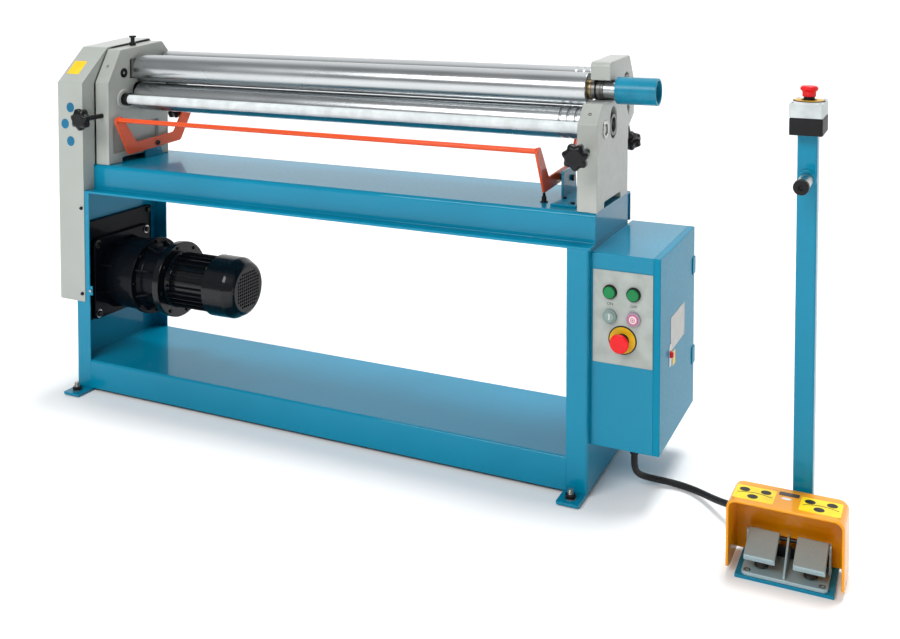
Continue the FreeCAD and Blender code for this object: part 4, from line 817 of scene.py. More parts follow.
rolls = {"bodyFrom": -615, "bodyTo": 655, "radius": 37, "edge": 1.5, "neck": 18.5, "journal": 16.5,
         "grooves": (598, 616.5, 635), "grooveWide": 5, "grooveDeep": 2.5,
         "upper": (9.5, 843), "lower": (9.5, 767), "rear": (115.5, 846)}
bearing = {"radius": 24, "bore": 16.6, "long": 45, "starts": (-670, 665), "pivot": -647.5,
           "drumHalf": 25.7, "bushBore": 18.6,
           # start, end, radius and finish of each ring of the bush
           "bush": ((655, 663, 22.5, 0), (663, 671.5, 21.6, 1), (671.5, 675, 19.5, 2),
                    (675, 684, 22, 1), (684, 690, 21.2, 1))}
sleeve = {"radius": 30, "bore": 25, "neckBore": 18.6, "web": 12}
tie = {"line": (-52.5, 764), "radius": 12.5, "bore": 12.6, "bossFrom": -625, "bossTo": -620,
       "bossRadius": 27, "collarTo": -603, "collarRadius": 17, "ringFrom": 710, "ringTo": 712,
       "ringRadius": 19.5, "socketRadius": 7.2}


def makeRolls():
    for name, body, line, neck, grooved in (
            ("upper", "upper_roll", rolls["upper"], rolls["neck"], False),
            ("lower", "lower_roll", rolls["lower"], rolls["journal"], True),
            ("rear", "rear_roll", rolls["rear"], rolls["journal"], True)):
        low, high = boxOf("roll_" + name)
        edge = rolls["edge"]
        profile = [(low[0], 0), (low[0], neck, 1), (rolls["bodyFrom"], neck, 0.8),
                   (rolls["bodyFrom"], rolls["radius"], edge)]
        for groove in rolls["grooves"] if grooved else ():
            floor = rolls["radius"] - rolls["grooveDeep"]
            profile += [(groove - rolls["grooveWide"], rolls["radius"], 0.6),
                        (groove - rolls["grooveWide"], floor, 2),
                        (groove, floor, 2), (groove, rolls["radius"], 0.6)]
        profile += [(rolls["bodyTo"], rolls["radius"], edge), (rolls["bodyTo"], neck, 0.8),
                    (high[0], neck, 1), (high[0], 5), (high[0] - 5, 0)]
        form = Form("groundSteel")
        form.lathe(roundCorners(profile, 4, openEnded=True), (0,) + line, "X", around=72)
        form.make("roll" + name.capitalize(), body, "roll_" + name)


def makeBearings():
    radius, bore = bearing["radius"], bearing["bore"]
    for node, body, line in (("lower_blocks", "lower_lift", rolls["lower"]),
                             ("rear_blocks", "rear_slide", rolls["rear"])):
        form = Form("machinedIron")
        for start in bearing["starts"]:
            end = start + bearing["long"]
            wall = [(start, bore, 0.8), (start, radius, 1.2), (end, radius, 1.2), (end, bore, 0.8)]
            form.lathe(roundCorners(wall, 4), (0,) + line, "X", around=56, hollow=True)
        form.make("bearings" + node.split("_")[0].capitalize(), body, node)
    form = Form("oiledBronze", "machinedIron", "blackSteel")  # bush on the upper roll's right neck
    inner = bearing["bushBore"]
    for start, end, outer, finish in bearing["bush"]:
        wall = [(start, inner), (start, outer, 0.7), (end, outer, 0.7), (end, inner)]
        form.lathe(roundCorners(wall, 3), (0,) + rolls["upper"], "X", finish, 56, True)
    form.make("rollBush", "upper_swing", "swing_bush")
    form = Form("machinedIron")
    y, z = rolls["upper"]
    form.slab(ring(radius, (bearing["pivot"], y), 48), z - bearing["drumHalf"],
              z + bearing["drumHalf"], "Z", 1)
    form.make("swingDrum", "upper_swing", "swing_block")


def makeSleeve():
    low, high = boxOf("sleeve")
    form = Form("blueSleeve")
    radius, bore, neck = sleeve["radius"], sleeve["bore"], sleeve["neckBore"]
    webEnd = low[0] + sleeve["web"]
    wall = [(low[0], neck, 0.5), (low[0], radius, 2.5), (high[0], radius, 1.6),
            (high[0], bore, 1.6), (webEnd, bore, 1), (webEnd, neck, 0.5)]
    form.lathe(roundCorners(wall, 5), (0,) + rolls["upper"], "X", around=64, hollow=True)
    form.make("rollSleeve", "upper_roll", "sleeve")


def makeTieRod():
    low, high = boxOf("tie_rod")
    line, radius, bore = tie["line"], tie["radius"], tie["bore"]
    form = Form("brightBar", "blackSteel")
    form.lathe(roundCorners([(low[0], 0), (low[0], radius, 1), (high[0], radius, 1), (high[0], 8),
                             (high[0] - 7, 7), (high[0] - 7, 0)], 4, openEnded=True),
               (0,) + line, "X")
    form.slab(ring(tie["socketRadius"], line, 6), high[0] - 8, high[0] - 6.5, "X", 0, finish=1)
    form.make("tieBar", "frame", "tie_rod")
    form = Form("greyCasting", "blackSteel", "zincPlate")
    start, middle, end = tie["bossFrom"], tie["bossTo"], tie["collarTo"]
    boss, collar = tie["bossRadius"], tie["collarRadius"]
    form.lathe(roundCorners([(start, bore), (start, boss, 1), (middle, boss, 3), (middle, bore)], 5),
               (0,) + line, "X", 0, 56, True)
    form.lathe(roundCorners([(middle, bore), (middle, collar, 1), (end, collar, 2),
                             (end, bore, 1)], 5), (0,) + line, "X", 1, 48, True)
    start, end, outer = tie["ringFrom"], tie["ringTo"], tie["ringRadius"]
    form.lathe(roundCorners([(start, bore), (start, outer, 0.6), (end, outer, 0.6),
                             (end, bore, 0.4)], 3), (0,) + line, "X", 2, 48, True)
    form.make("tieCollars", "frame", "tie_collars")


makeRolls()
makeBearings()
makeSleeve()
makeTieRod()
print("rolls made")

# hand knobs: a lobed head on a threaded stem

knob = {"lobes": 7, "deep": 0.095, "radius": 29, "thick": 26, "stem": 6.5, "boss": 12,
        "frontSpots": {"left": (-647.5, -80.5, 724), "right": (687.5, -80.5, 724)},
        "frontReach": 93, "rearPlaces": {"left": -653, "right": 693}, "rearTilt": 30,
        "rearFrom": 26, "rearReach": 152}
pin = {"line": (-647.5, 9.5), "radius": 5, "collar": (904, 913), "grip": 925.5}


def addKnob(form, tip, way, stemFrom, headAt):
    # the head's radius swells and sinks as a cosine of the angle, most at its rim and not at all
    # near its middle, by a smooth step of the radius there
    end = headAt + knob["thick"]
    stem, boss, radius = knob["stem"], knob["boss"], knob["radius"]
    form.lathe(roundCorners([(stemFrom, 0), (stemFrom, stem, 1), (headAt - 9, stem, 0.5),
                             (headAt - 9, 0)], 3, openEnded=True), tip, way, around=32)
    form.lathe(roundCorners([(headAt - 10, 0), (headAt - 10, 9, 1), (headAt - 2, boss, 2),
                             (headAt + 1, boss, 0.5), (headAt + 1, 0)], 4, openEnded=True),
               tip, way, around=36)
    head = roundCorners([(headAt, 0), (headAt, radius * 0.72, 3), (headAt + 5, radius, 5),
                         (end - 6, radius, 6), (end, radius * 0.66, 14), (end - 0.6, 0)],
                        7, openEnded=True)
    share = np.clip((head[:, 1] / radius - 0.45) / 0.5, 0, 1)
    form.lathe(head, tip, way, around=112, lobes=knob["lobes"],
               deep=knob["deep"] * share * share * (3 - 2 * share))


def makeKnobs():
    for side, spot in knob["frontSpots"].items():
        form = Form("blackKnob")
        addKnob(form, spot, (0, -1, 0), 0, knob["frontReach"])
        form.make("frontKnob" + side.capitalize(), "front_knob_" + side,
                  "front_knob_" + side)
    lean = math.radians(knob["rearTilt"])
    for side, x in knob["rearPlaces"].items():
        form = Form("blackKnob")
        addKnob(form, (x,) + rolls["rear"], (0, math.sin(lean), -math.cos(lean)),
                knob["rearFrom"], knob["rearReach"])
        form.make("rearKnob" + side.capitalize(), "rear_knob_" + side,
                  "rear_knob_" + side)


def makeSwingPin():
    low, high = boxOf("swing_pin")
    radius = pin["radius"]
    collarLow, collarHigh = pin["collar"]
    form = Form("blackSteel")
    form.lathe(roundCorners([(low[2], 0), (low[2], radius, 0.5), (collarLow, radius),
                             (collarLow, 9, 1.5), (collarHigh, 9, 1.5), (collarHigh, 5.5, 1),
                             (pin["grip"], 5.5, 1), (pin["grip"], 9.5, 1.2), (high[2], 9.5, 1.2),
                             (high[2], 0)], 4, openEnded=True), pin["line"] + (0,), "Z", around=40)
    form.make("swingPinKnob", "frame", "swing_pin")


makeKnobs()
makeSwingPin()
print("knobs made")

# gear cover: folded sheet with bare stickers

cover = {"skin": 2, "fold": 3, "low": 236, "tableLine": 594, "browLow": (-154.5, 813),
         "browHigh": (-60.5, 902), "crown": (104.5, 918), "shoulder": (139.5, 880),
         "shellTo": -705.5, "discs": ((-714, 748), (-733, 704), (-714, 659)), "discRadius": 13,
         "labelPlace": -727, "labelHalf": 21, "labelReach": (-34, 12), "screwPlace": -680,
         "screwHeights": (257, 484)}


def makeGearCover():
    low, high = boxOf("gear_cover")
    skin, fold = cover["skin"], cover["fold"]
    browLow, browHigh, crown, shoulder = (cover[key] for key in (
        "browLow", "browHigh", "crown", "shoulder"))
    front, back = browLow[0], shoulder[0]
    corners = [(front, cover["low"]), browLow, browHigh, crown, shoulder, (back, cover["low"])]
    outline = roundCorners([spot + (4,) for spot in corners])
    form = Form("coverPaint", "stickerYellow", "stickerBlue")
    form.slab(shrunk(outline, 0.05), low[0], low[0] + 9, "X", fold)
    form.slab(shrunk(outline, 0.15), low[0] + fold, cover["shellTo"], "X", 0.3,
              [shrunk(outline, skin)])
    half = skin / 2
    slip = half * 0.4
    walls = [(front + half, cover["low"]), (front + half, browLow[1] - slip, 3),
             (browHigh[0] + slip, browHigh[1] - half, 3), (crown[0] - slip, crown[1] - half, 3),
             (back - half, shoulder[1] - slip, 3), (back - half, cover["tableLine"])]
    form.slab(bentSheet(walls, skin), low[0] + fold + 0.4, high[0], "X", 0.3)
    flap = [(-153.5, 530.5), (-153.5, 812.5), (-60.6, 900.3), (-46, 901.7), (-46, 893),
            (-64, 893), (-112, 809), (-112, 594.5), (-116, 594.5), (-116, 530.5)]
    form.slab(np.array(flap), high[0] - skin, high[0], "X", 0.3)
    y = low[1]
    for spot in cover["discs"]:  # plain blue discs
        form.slab(ring(cover["discRadius"], spot), y - 0.35, y + 0.2, "Y", 0.1, finish=2)
    middle = (np.array(browLow) + browHigh) / 2  # a plain yellow label on the sloping brow
    lean = math.degrees(math.atan2(browHigh[1] - browLow[1], browHigh[0] - browLow[0]))
    x, wide = cover["labelPlace"], cover["labelHalf"]
    labelFront, labelBack = cover["labelReach"]
    form.slab(rectangle((x - wide, middle[0] + labelFront), (x + wide, middle[0] + labelBack), 3),
              middle[1] - 0.2, middle[1] + 0.35, "Z", 0.1, finish=1,
              turn=("X", lean, (x, middle[0], middle[1])))
    form.make("gearCoverSheet", "frame", "gear_cover")
    form = Form("blackSteel")
    for z in cover["screwHeights"]:
        form.lathe(roundCorners([(-2, 0), (-2, 2.4), (0, 2.4), (0, 4.5, 0.5), (3, 4.5, 2.4),
                                 (6, 2.4, 1), (6, 2), (4.2, 1.6), (4.2, 0)], 4, openEnded=True),
                   (cover["screwPlace"], y, z), (0, -1, 0), around=28)
    form.make("coverScrewHeads", "frame", "cover_screws")


makeGearCover()

# trip frame: cranked arms, two bars, brackets, switch and plunger

trip = {"face": -110.5, "table": 594, "pivot": (60.5, 632), "thick": 5, "pinRadius": 5.1,
        "arm": [(5, 120, 9), (57, 20.5, 8), (269, 32, 14), (325.5, 120, 8), (288, 127.5, 6),
                (241, 59, 10), (88, 51, 3), (32, 128, 9)],
        "bars": ((-92.5, 713), (195, 706.5)), "barRadius": 6,
        # the left bracket is a plain plate, and the right one stands on a flange
        "plates": ([(25.5, 594, 1), (25.5, 646, 5), (74.5, 646, 8), (95.5, 594, 1)],
                   [(-1.5, 594, 1), (-1.5, 656, 5), (84.5, 656, 8), (95.5, 594, 1)]),
        "plateStarts": (-624, 593), "pivotSteps": (6, 21),
        "flange": ((594, -79.5), (654, 76.5)), "flangeScrews": ((606, -16), (640, -62))}


def makeTripFrame():
    outline = roundCorners([(trip["face"] + y, trip["table"] + z, r) for y, z, r in trip["arm"]])
    radius = trip["barRadius"]
    turn = np.linspace(0, 2 * math.pi, 40)
    for side, way in (("left", -1), ("right", 1)):
        low, high = boxOf("arm_" + side)
        outer, inner = (low[0], high[0]) if way < 0 else (high[0], low[0])
        form = Form("orangePaint")
        form.slab(outline, low[0], high[0], "X", 0.9, [ring(trip["pinRadius"], trip["pivot"], 28)])
        for y, z in trip["bars"]:  # the bars' ends are welded through and ground
            form.lathe(roundCorners([(-1, 0), (-1, 6.5), (0.8, 6.5, 0.7), (0.8, 0)], 4,
                                    openEnded=True), (outer, y, z), (way, 0, 0), around=32)
            bead = np.stack([np.full_like(turn, inner), y + (radius + 0.6) * np.cos(turn),
                             z + (radius + 0.6) * np.sin(turn)], 1)
            form.tube(bead, 1.2, around=8, ahead=(1, 0, 0))
        form.make("tripArm" + side.capitalize(), "trip_frame", "arm_" + side)
    low, high = boxOf("trip_bars")
    form = Form("orangePaint")
    for line in trip["bars"]:
        form.lathe([(low[0], 0), (low[0], radius), (high[0], radius), (high[0], 0)],
                   (0,) + line, "X", around=32)
    form.make("tripBars", "trip_frame", "trip_bars")


def makeTripBrackets():
    y, z = trip["pivot"]
    thick, table = trip["thick"], trip["table"]
    form = Form("bluePaint", "blackSteel")
    for corners, start, inward, gap in zip(trip["plates"], trip["plateStarts"], (1, -1),
                                           trip["pivotSteps"]):
        form.slab(roundCorners(corners), start, start + thick, "X", 0.8)
        if inward < 0:  # a flange on the table, screwed down, and the pivot's nut
            form.slab(rectangle(*trip["flange"], 3), table, table + thick, "Z", 0.8)
            for spot in trip["flangeScrews"]:
                form.slab(ring(5, spot, 6), table + 4.8, table + 9.5, "Z", 0.6, finish=1)
            form.slab(ring(7.5, (y, z), 6), start + 4.8, start + 11, "X", 0.8, finish=1)
        begin = start + thick if inward > 0 else start
        form.lathe(roundCorners([(0, 0), (0, 8, 0.8), (gap - 0.4, 8, 0.8), (gap - 0.4, 4.9),
                                 (gap + 5.6, 4.9), (gap + 5.6, 7, 0.6), (gap + 9.5, 7, 1.4),
                                 (gap + 9.5, 3.2), (gap + 7, 2.8), (gap + 7, 0)],
                                4, openEnded=True), (begin, y, z), (inward, 0, 0), 1, 32)
    form.make("tripBrackets", "frame", "trip_brackets")


def makeTripSwitch():
    low, high = boxOf("trip_switch")
    x, y = (low[0] + high[0]) / 2, (low[1] + high[1]) / 2
    form = Form("blackSteel")
    form.lathe(roundCorners([(low[2], 4.15), (low[2], 9, 0.8), (low[2] + 2.2, 8.6, 0.6),
                             (low[2] + 3.4, 5.6, 1), (high[2], 5.3, 0.5), (high[2], 4.15, 0.4)], 4),
               (x, y, 0), "Z", around=36, hollow=True)
    form.make("tripSwitchBody", "frame", "trip_switch")
    low, high = boxOf("trip_plunger")
    form = Form("blackSteel")
    form.thread(low[2], high[2] - 1.6, 3.9, 1.4, (x, y, 0))
    form.lathe(roundCorners([(high[2] - 2, 0), (high[2] - 2, 3.6, 0.3), (high[2], 3.2, 1.6),
                             (high[2], 0)], 4, openEnded=True), (x, y, 0), "Z", around=28)
    form.make("tripPlungerTip", "trip_plunger", "trip_plunger")


makeTripFrame()
makeTripBrackets()
makeTripSwitch()
print("cover and trip frame made")

# geared motor: plate, flanges with bolts, finned body, cowl with its grille and fan

motor = {"axis": (-4.5, 282), "plateFace": -690, "plateBolts": (121, 122),
         "plateMiddle": (-11.5, 305), "plateHole": 16, "flange": 108, "flangeThick": 13,
         "flangeCorner": 12, "boltIn": 14, "ribs": 8, "body": 95, "ringAt": 119, "ring": 101.7,
         "drumAt": 131, "flangeAt": 197, "fins": 28, "finTall": 8.6, "finThick": 3.2, "core": 64,
         "cowl": 79, "grille": 55, "mesh": 8.4, "slot": 6, "blades": 7, "blade": (14, 58.5)}


def bolts(form, reach, at, size, offset):
    # eight hexagon heads round the motor's axis, standing on the plane at which they start
    y, z = motor["axis"]
    for turn in np.linspace(0, 2 * math.pi, 8, endpoint=False) + offset:
        spot = (y + reach * math.cos(turn), z + reach * math.sin(turn))
        form.slab(ring(size, spot, 6), at, at + size, "X", 0.8, finish=1)


def makeGearbox():
    low, high = boxOf("motor_plate")
    y, z = motor["axis"]
    form = Form("plateBlack", "blackSteel")
    form.slab(rectangle(low[1:], high[1:], 3), low[0], high[0], "X", 1.2,
              [ring(motor["plateHole"], (y, z))])
    middle, out = motor["plateMiddle"], motor["plateBolts"]
    for sideY in (-1, 1):
        for sideZ in (-1, 1):
            spot = (middle[0] + sideY * out[0], middle[1] + sideZ * out[1])
            form.slab(ring(7, spot, 6), high[0] - 1, high[0] + 6, "X", 1, finish=1)
    form.make("motorPlate", "frame", "motor_plate")
    form = Form("plateBlack", "blackSteel", "zincPlate")
    face, reach = motor["plateFace"], motor["flange"]
    body, ringAt, drumAt, end = (motor[key] for key in ("body", "ringAt", "drumAt", "flangeAt"))
    top = face + motor["flangeThick"]
    form.slab(rectangle((y - reach, z - reach), (y + reach, z + reach), motor["flangeCorner"]),
              face, top, "X", 2)
    for sideY in (-1, 1):
        for sideZ in (-1, 1):
            out = reach - motor["boltIn"]
            spot = (y + sideY * out, z + sideZ * out)
            form.slab(ring(8, spot, 6), top, top + 7, "X", 1, finish=1)
            form.lathe([(0, 0), (0, 11), (1.6, 11), (1.6, 0)], (top - 0.4,) + spot, "X", 2, 24)
    edge = motor["ring"]
    form.lathe(roundCorners([(0, 0), (0, 86), (20, 84, 10), (38, 91, 8), (64, body - 0.5, 6),
                             (ringAt - 3, body - 0.5, 2), (ringAt, body), (ringAt, edge, 1.5),
                             (drumAt, edge, 1.5), (drumAt, 86, 4), (drumAt + 7, 78, 6),
                             (end - 1, 76, 8), (end, 76), (end, 0)],
                            5, openEnded=True), (face, y, z), "X", around=72)
    for turn in np.linspace(0, 360, motor["ribs"], endpoint=False) + 22.5:  # webs to both flanges
        web = roundCorners([(face + 8, z + 60), (face + 8, z + 99, 2), (face + 14, z + 99, 3),
                            (face + 56, z + 90, 3), (face + 56, z + 60)])
        form.slab(web, y - 3, y + 3, "Y", 1.2, turn=("X", turn, (0, y, z)))
        web = roundCorners([(face + drumAt - 1, z + 60), (face + drumAt - 1, z + 95, 2),
                            (face + drumAt + 32, z + 79, 8), (face + end + 1, z + 92, 2),
                            (face + end + 1, z + 60)])
        form.slab(web, y - 2.5, y + 2.5, "Y", 1, turn=("X", turn, (0, y, z)))
    bolts(form, 93, face + drumAt, 5, math.pi / 8 + 0.39)
    form.make("gearboxCasting", "frame", "reducer")


def makeMotor():
    low, high = boxOf("motor")
    y, z = motor["axis"]
    core = motor["core"]
    form = Form("blackPaint", "blackSteel", "oiledBronze")
    form.lathe(roundCorners([(low[0], 0), (low[0], 99.5, 1.5), (low[0] + 19.5, 99.5, 2),
                             (low[0] + 20, 74, 3), (low[0] + 26, core, 3), (high[0], core, 2),
                             (high[0], 0)], 5, openEnded=True), (0, y, z), "X", around=72)
    thick, tip = motor["finThick"], core + motor["finTall"]
    fin = roundCorners([(core - 4, 0), (core - 4, thick), (tip, thick * 0.8, 1),
                        (tip, thick * 0.2, 1)], 3)
    count = motor["fins"]
    for turn in np.arange(count) * 360 / count:
        shape = fin + np.array([y, z - thick / 2])
        form.slab(shape, low[0] + 21, high[0], "X", 1, turn=("X", turn, (0, y, z)))
    bolts(form, 88, low[0] + 19.5, 4.6, 0.2)
    form.lathe(roundCorners([(0, 0), (0, 2.6), (5, 2.6), (5, 4.4, 0.6), (8.5, 4.4, 1), (8.5, 0)], 4,
                            openEnded=True),
               (high[0] - 9, y - 44, z + 50), (0, -0.66, 0.75), 2, 24)
    form.make("motorBody", "frame", "motor")
    low, high = boxOf("terminal_box")
    form = Form("blackPaint", "blackSteel")
    form.block((low[0], low[1] - 6, low[2]), (high[0], high[1] - 8, high[2]), "Y", 4, 1.5)
    form.block((low[0], high[1] - 7.4, low[2]), high, "Y", 4, 1.8)
    for x in (low[0] + 7, high[0] - 7):
        for up in (low[2] + 7, high[2] - 7):
            form.lathe([(0, 0), (0, 3.4), (1, 3), (1, 1), (0.3, 0)], (x, high[1] - 1, up), "Y",
                       1, 16)
    form.make("terminalBox", "frame", "terminal_box")


def makeCowl():
    low, high = boxOf("fan_cover")
    y, z = motor["axis"]
    hole, cowl = motor["grille"], motor["cowl"]
    form = Form("blackPaint")
    wall = [(low[0], 73.4), (low[0], cowl, 0.8), (high[0] - 27, cowl - 0.6, 20), (high[0] - 4, 66, 12),
            (high[0], 59, 2), (high[0], hole), (high[0] - 2, hole), (high[0] - 2, 58.2),
            (high[0] - 5.6, 64.4, 10), (high[0] - 27.6, 76.4, 20), (low[0] + 6, 77),
            (low[0] + 6, 73.4)]
    form.lathe(roundCorners(wall, 8), (0, y, z), "X", around=80, hollow=True)
    step = motor["mesh"]
    half = motor["slot"] / 2
    spots = [(y + step * i, z + step * j) for i in range(-7, 8) for j in range(-7, 8)
             if math.hypot(i, j) * step + half * 1.5 < hole - 1.5]
    cuts = [rectangle((a - half, b - half), (a + half, b + half), 0.9, 2) for a, b in spots]
    form.slab(ring(hole + 0.3, (y, z), 80), high[0] - 2, high[0], "X", 0, cuts)
    form.make("fanCowl", "frame", "fan_cover")
    low, high = boxOf("fan")
    form = Form("blackPlastic")
    form.lathe(roundCorners([(low[0], 0), (low[0], 7.5), (high[0] - 22, 7.5), (high[0] - 22, 20, 1),
                             (high[0] - 20, 59, 1), (high[0] - 18.5, 59, 0.5),
                             (high[0] - 18, 22, 2), (high[0], 16, 3), (high[0], 0)], 4,
                            openEnded=True), (0, y, z), "X", around=56)
    root, tip = motor["blade"]
    blade = roundCorners([(y - 1.2, z + root), (y + 1.2, z + root), (y + 1.2, z + tip, 1),
                          (y - 1.2, z + tip, 1)], 3)
    for turn in np.arange(motor["blades"]) * 360 / motor["blades"]:
        form.slab(blade, high[0] - 19, high[0] - 1, "X", 0.5, turn=("X", turn, (0, y, z)))
    form.make("fanWheel", "motor_fan", "fan")


makeGearbox()
makeMotor()
makeCowl()
print("geared motor made")

# control cabinet with its door, panel, lamps, buttons and stop button

cabinet = {"skin": 2, "corner": 3, "back": 186.5, "shellTo": 837.7, "face": -135.5,
           "doorFrom": 838, "doorFace": 852, "hinges": (202, 410), "hingeHalf": 20,
           "hingeLine": (838, 192.8), "lock": (-46.5, 295), "plate": ((-44, 300), (84, 372)),
           "lamps": ((747, 440), (797, 440)), "buttons": ((747, 389), (797, 389)),
           "letters": 8.5, "lettersHigh": 414.5, "rimRadius": 15, "holeRadius": 11.4,
           "stop": (774, 342), "stopHole": 10.4}


def makeCabinet():
    low, high = boxOf("cabinet")
    back, skin, face = cabinet["back"], cabinet["skin"], cabinet["doorFace"]
    start = cabinet["doorFrom"]
    tall = cabinet["hingeHalf"]
    line = cabinet["hingeLine"] + (0,)
    outline = rectangle((low[1], low[2]), (back, high[2]), cabinet["corner"])
    form = Form("bluePaint", "zincPlate")
    form.slab(outline, low[0], cabinet["shellTo"], "X", 0.5, [shrunk(outline, skin)])
    form.slab(shrunk(outline, 0.3), low[0] + 0.2, low[0] + skin, "X", 0)
    form.block((low[0] + 2, -100, 170), (low[0] + 4, 150, 460), "X", 2, 0.3, 1)  # mounting plate
    for rise in cabinet["hinges"]:  # lower knuckles with their pins
        form.lathe(roundCorners([(rise, 0), (rise, 6, 0.8), (rise + tall, 6, 0.8),
                                 (rise + tall, 2.4), (rise + tall * 2, 2.4),
                                 (rise + tall * 2, 0)], 3, openEnded=True), line, "Z", around=28)
        form.block((827.7, back - 0.3, rise), (cabinet["shellTo"], 192, rise + tall), "Z", 0.8,
                   0.5)
    form.make("cabinetShell", "frame", "cabinet")

    form = Form("doorPaint", "redPlastic", "zincPlate", "nameplateSheet", "stickerYellow")
    form.slab(outline, start, start + 13, "X", 0.4, [shrunk(outline, skin)])
    form.slab(shrunk(outline, 0.05), 845.5, face, "X", 2.4)
    for rise in cabinet["hinges"]:  # upper knuckles, and a leaf bent round the door's edge
        top = rise + tall * 2
        form.lathe(roundCorners([(rise + 20.4, 2.7), (rise + 20.4, 6, 0.8), (top, 6, 0.8),
                                 (top, 2.7)], 3), line, "Z", 0, 28, True)
        form.block((start, back - 0.3, rise + 20.4), (start + 10, 192, top), "Z", 0.8, 0.5)
        leaf = bentSheet([(843, 189.6), (face + 1.2, 189.6, 2.4), (face + 1.2, 164)], 2.2)
        form.slab(leaf, rise + 1, top - 1, "Z", 0.5)
    y, z = cabinet["lock"]
    form.slab(rectangle((y - 9, z - 26), (y + 9, z + 22), 3), face, face + 1, "X", 0.4, finish=2)
    form.lathe(roundCorners([(853, 0), (853, 8, 0.5), (855, 8, 0.8), (855, 6, 0.5),
                             (859.8, 5.6, 1.6), (859.8, 0)], 4, openEnded=True),
               (0, y, z), "X", 1, 32)
    (left, under), (right, over) = cabinet["plate"]
    form.slab(rectangle((left, under), (right, over), 2), face - 0.1, face + 0.7, "X", 0.25,
              finish=3)
    for across in (left + 5, right - 5):
        for up in (under + 5, over - 5):
            form.lathe([(852.5, 0), (852.5, 1.8), (853.4, 1.2), (853.5, 0)], (0, across, up), "X",
                       2, 14)
    form.slab(rectangle((y + 22, z - 32), (y + 46, z - 2), 2.5), face - 0.1, face + 0.4, "X", 0.15,
              finish=4)
    form.make("cabinetDoor", "cabinet_door", "cabinet_door")


def bezel(form, spot, inner, finish):
    # a rounded ring that stands out from the panel's face
    outer, deep = cabinet["rimRadius"], 7
    x, z = spot
    form.lathe(roundCorners([(0, inner), (0, outer, 0.5), (deep - 1.5, outer - 0.4, 1.2),
                             (deep, outer - 2, 0.8), (deep, inner, 0.5)], 4),
               (x, cabinet["face"], z), (0, -1, 0), finish, 56, True)


def makePanel():
    low, high = boxOf("panel_plate")
    y, hole = cabinet["face"], cabinet["holeRadius"]
    cuts = [ring(hole, spot, 28) for spot in cabinet["buttons"]]
    cuts.append(ring(cabinet["stopHole"], cabinet["stop"], 28))
    form = Form("panelSheet", "blackPlastic", "inkBlack", "greyButton", "buttonRim")
    form.slab(rectangle((low[0], low[2]), (high[0], high[2]), 1.5), y, y + 2, "Y", 0.4, cuts)
    for finish, spot in zip((3, 4), cabinet["buttons"]):
        bezel(form, spot, hole, finish)
    for text, spot in zip(("ON", "OFF"), cabinet["buttons"]):
        form.words(text, cabinet["letters"], (spot[0], y - 0.1, cabinet["lettersHigh"]), 2)
    form.make("panelSheetMetal", "frame", "panel_plate")
    form = Form("blackPlastic", "greenLens")
    for x, z in cabinet["lamps"]:
        bezel(form, (x, z), 11.5, 0)
        form.lathe(roundCorners([(0, 0), (0, 12.4), (8, 12.4, 1), (10.6, 11.6, 1.6), (11, 6, 4),
                                 (11, 0)], 5, openEnded=True), (x, y, z), (0, -1, 0), 1, 48)
    form.make("panelLamps", "frame", "lamps")


def addButtonCap(form, spot):
    # a push button with a shallow dish in its face
    x, z = spot
    form.lathe(roundCorners([(-5, 0), (-5, 11, 0.5), (8, 11, 1.2), (8.5, 9, 0.6), (7.8, 8, 0.5),
                             (7.8, 0)], 4, openEnded=True), (x, cabinet["face"], z),
               (0, -1, 0), 0, 48)


def makeButtons():
    (startX, startZ), halt = cabinet["buttons"]
    y = cabinet["face"]
    form = Form("greyButton", "inkWhite")
    addButtonCap(form, (startX, startZ))
    form.block((startX - 0.9, y - 8.1, startZ - 6), (startX + 0.9, y - 7.6, startZ + 6), "Y", 0.6,
               0.1, 1)
    form.make("startButton", "start_button", "start_button")
    form = Form("redButton", "inkWhite", "ringPink")
    addButtonCap(form, halt)
    form.slab(ring(7.6, halt), y - 8.1, y - 7.6, "Y", 0.1, [ring(5.4, halt, 36)], finish=1)
    form.slab(ring(3.4, halt, 32), y - 8.1, y - 7.6, "Y", 0.1, finish=1)
    form.slab(ring(2.2, halt, 28), y - 8.3, y - 8, "Y", 0.1, finish=2)
    form.make("haltButton", "halt_button", "halt_button")


def addWasher(form, profile, centre, way, finish):
    form.lathe(roundCorners(profile, 3), centre, way, finish, 64, True)


def makeStopButton():
    x, z = cabinet["stop"]
    hole = cabinet["stopHole"]
    centre, way = (x, cabinet["face"], z), (0, -1, 0)
    form = Form("yellowPlastic", "inkBlack", "blackPlastic")
    addWasher(form, [(0, hole), (0, 30, 0.3), (1.6, 30, 0.6), (1.6, hole)], centre, way, 1)
    addWasher(form, [(1, hole), (1, 27.6), (2, 27.4, 0.3), (2, hole)], centre, way, 0)
    form.lathe(roundCorners([(1, hole), (1, 15, 0.5), (3, 13.6, 0.6), (6, 13.6, 0.8), (6, hole)],
                            4), centre, way, 2, 48, True)
    form.make("stopRing", "frame", "stop_ring")
    # neck, a body that flares into a wide cap with a slightly domed top
    form = Form("redPlastic")
    form.lathe(roundCorners([(-20, 0), (-20, 10, 1), (-1, 10), (-1, 14.6, 0.8), (3, 15.6, 2),
                             (8, 16, 5), (10.5, 20, 1.6), (14, 20, 2.2), (16, 17, 5), (16, 0)],
                            6, openEnded=True), (x, boxOf("stop_head")[0][1] + 16, z), way, 0, 56)
    form.make("stopHead", "stop_head", "stop_head")


makeCabinet()
makePanel()
makeButtons()
makeStopButton()
print("cabinet made")

# pedal unit: floor plate, casting, pedals, springs and hood

